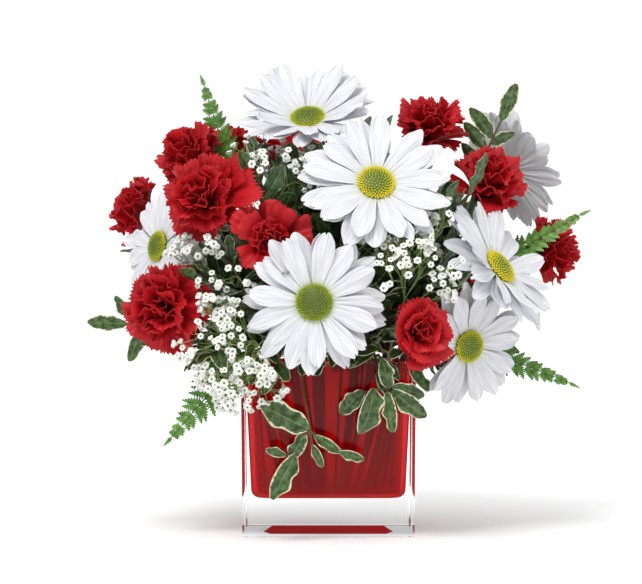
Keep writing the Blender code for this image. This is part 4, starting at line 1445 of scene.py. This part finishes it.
def build_stage():
    """A pale floor, soft studio lamps, an even white surround, and the camera."""
    scene = bpy.context.scene
    floor = bmesh.new()
    bmesh.ops.create_circle(floor, cap_ends=True, segments=64, radius=FLOOR_REACH)
    mesh = bpy.data.meshes.new("floor")
    floor.to_mesh(mesh)
    floor.free()
    ground = bpy.data.objects.new("floor", mesh)
    scene.collection.objects.link(ground)
    # Matt white paper, faintly wavy over about 17 mm, which keeps its tone from being flat.
    made, tree, out = new_material("white_paper_sweep")
    at = add(tree, "ShaderNodeTexCoord")
    grain = add(tree, "ShaderNodeTexNoise", {"Vector": at.outputs["Object"], "Scale": 60.0})
    bump = add(tree, "ShaderNodeBump", {"Strength": 0.03, "Distance": 1 * MM, "Height": grain})
    # Painted light: the paper glows, faintly by the vase and more strongly further out, so it
    # runs into the white surround.
    far = add(tree, "ShaderNodeVectorMath", {0: at.outputs["Object"]}, operation="LENGTH")
    glow = add(tree, "ShaderNodeMapRange",
               {0: far.outputs["Value"], 1: 0.1, 2: 0.7, 3: 0.10, 4: 0.5})
    paper = add(tree, "ShaderNodeBsdfPrincipled", {
        "Base Color": "#f6f6f6", "Roughness": 0.85, "Normal": bump,
        "Emission Color": "#ffffff", "Emission Strength": glow,
    })
    tree.links.new(paper.outputs[0], out.inputs["Surface"])
    mesh.materials.append(made)

    world = bpy.data.worlds.new("studio_surround")
    scene.world = world
    world.use_nodes = True
    tree = world.node_tree
    tree.nodes.clear()
    way = add(tree, "ShaderNodeTexCoord")
    # The studio is bright overhead and behind the flowers and dim in front of them. Looked at
    # directly it is an even white.
    lean = add(tree, "ShaderNodeVectorMath", {0: way.outputs["Generated"], 1: (0, 0.8, 0.75)},
               operation="DOT_PRODUCT")
    room = add(tree, "ShaderNodeMapRange", {0: lean.outputs["Value"], 1: -0.75, 2: 0.7,
                                            3: 0.10, 4: 0.88})
    path = add(tree, "ShaderNodeLightPath")
    strength = add(tree, "ShaderNodeMix", {0: path.outputs["Is Camera Ray"], 2: room, 3: 1.05})
    sky = add(tree, "ShaderNodeBackground", {"Color": "#ffffff", 1: strength})
    add(tree, "ShaderNodeOutputWorld", {0: sky})

    for name, (at, size, power) in SOFTBOXES.items():
        lamp = bpy.data.lights.new(name, "AREA")
        lamp.shape = "DISK"
        lamp.size = size
        lamp.energy = power
        holder = bpy.data.objects.new(name, lamp)
        scene.collection.objects.link(holder)
        holder.location = at
        holder.rotation_euler = (Vector(at) - LIT).to_track_quat("Z", "Y").to_euler()

    seen = bpy.data.cameras.new("camera")
    seen.lens = CAMERA_LENS
    seen.sensor_width = 36
    camera = bpy.data.objects.new("camera", seen)
    scene.collection.objects.link(camera)
    camera.location = CAMERA_AT
    camera.rotation_euler = (math.radians(90), 0, 0)
    scene.camera = camera
    scene.view_settings.view_transform = "Standard"


# ------------------------------------------------------------------------ the add-on's face


class FLOWERS_OT_vase(bpy.types.Operator):
    """Build the glass block and its red lining"""

    bl_idname = "flowers.vase"
    bl_label = "Vase and Lining"

    def execute(self, context):
        build_vase(context.scene.vase_settings)
        return {"FINISHED"}


class FLOWERS_OT_daisies(bpy.types.Operator):
    """Build the daisy chrysanthemums"""

    bl_idname = "flowers.daisies"
    bl_label = "Daisies"

    def execute(self, context):
        build_daisies(context.scene.daisy_settings)
        return {"FINISHED"}


class FLOWERS_OT_carnations(bpy.types.Operator):
    """Build the spray carnations"""

    bl_idname = "flowers.carnations"
    bl_label = "Carnations"

    def execute(self, context):
        build_carnations(context.scene.carnation_settings)
        return {"FINISHED"}


class FLOWERS_OT_pittosporum(bpy.types.Operator):
    """Build the twigs of variegated leaves"""

    bl_idname = "flowers.pittosporum"
    bl_label = "Variegated Twigs"

    def execute(self, context):
        build_pittosporum(context.scene.greenery_settings)
        return {"FINISHED"}


class FLOWERS_OT_ferns(bpy.types.Operator):
    """Build the fern fronds"""

    bl_idname = "flowers.ferns"
    bl_label = "Ferns"

    def execute(self, context):
        build_ferns(context.scene.greenery_settings)
        return {"FINISHED"}


class FLOWERS_OT_gypsophila(bpy.types.Operator):
    """Build the clouds of baby's breath"""

    bl_idname = "flowers.gypsophila"
    bl_label = "Baby's Breath"

    def execute(self, context):
        build_gypsophila(context.scene.greenery_settings)
        return {"FINISHED"}


class FLOWERS_OT_inner_foliage(bpy.types.Operator):
    """Build the leaves behind the flower heads and round the rim"""

    bl_idname = "flowers.inner_foliage"
    bl_label = "Inner Foliage"

    def execute(self, context):
        build_inner_foliage(context.scene.greenery_settings)
        return {"FINISHED"}


class FLOWERS_OT_stage(bpy.types.Operator):
    """Build the floor, the lamps and the camera"""

    bl_idname = "flowers.stage"
    bl_label = "Stage"

    def execute(self, context):
        build_stage()
        return {"FINISHED"}


OPERATORS = (
    FLOWERS_OT_vase,
    FLOWERS_OT_daisies,
    FLOWERS_OT_carnations,
    FLOWERS_OT_pittosporum,
    FLOWERS_OT_ferns,
    FLOWERS_OT_gypsophila,
    FLOWERS_OT_inner_foliage,
    FLOWERS_OT_stage,
)


class FLOWERS_PT_panel(bpy.types.Panel):
    """Lists what builds the arrangement, and its settings"""

    bl_idname = "FLOWERS_PT_panel"
    bl_label = "Flowers in a Vase"
    bl_space_type = "VIEW_3D"
    bl_region_type = "UI"
    bl_category = "Flowers"

    def draw(self, context):
        for operator in OPERATORS:
            self.layout.operator(operator.bl_idname)
        for name, group in SETTINGS.items():
            box = self.layout.box()
            box.label(text=group.__doc__)
            for key in group.__annotations__:
                box.prop(getattr(context.scene, name), key)


def register():
    """Registers the settings, operators and panel."""
    for kind in (*SETTINGS.values(), *OPERATORS, FLOWERS_PT_panel):
        bpy.utils.register_class(kind)
    for name, group in SETTINGS.items():
        setattr(bpy.types.Scene, name, PointerProperty(type=group))


def unregister():
    """Takes them away again."""
    for name in SETTINGS:
        delattr(bpy.types.Scene, name)
    for kind in (FLOWERS_PT_panel, *OPERATORS[::-1], *list(SETTINGS.values())[::-1]):
        bpy.utils.unregister_class(kind)


def main():
    register()
    bpy.ops.flowers.vase()
    bpy.ops.flowers.daisies()
    bpy.ops.flowers.carnations()
    bpy.ops.flowers.pittosporum()
    bpy.ops.flowers.ferns()
    bpy.ops.flowers.gypsophila()
    bpy.ops.flowers.inner_foliage()
    bpy.ops.flowers.stage()


if __name__ == "__main__":
    main()
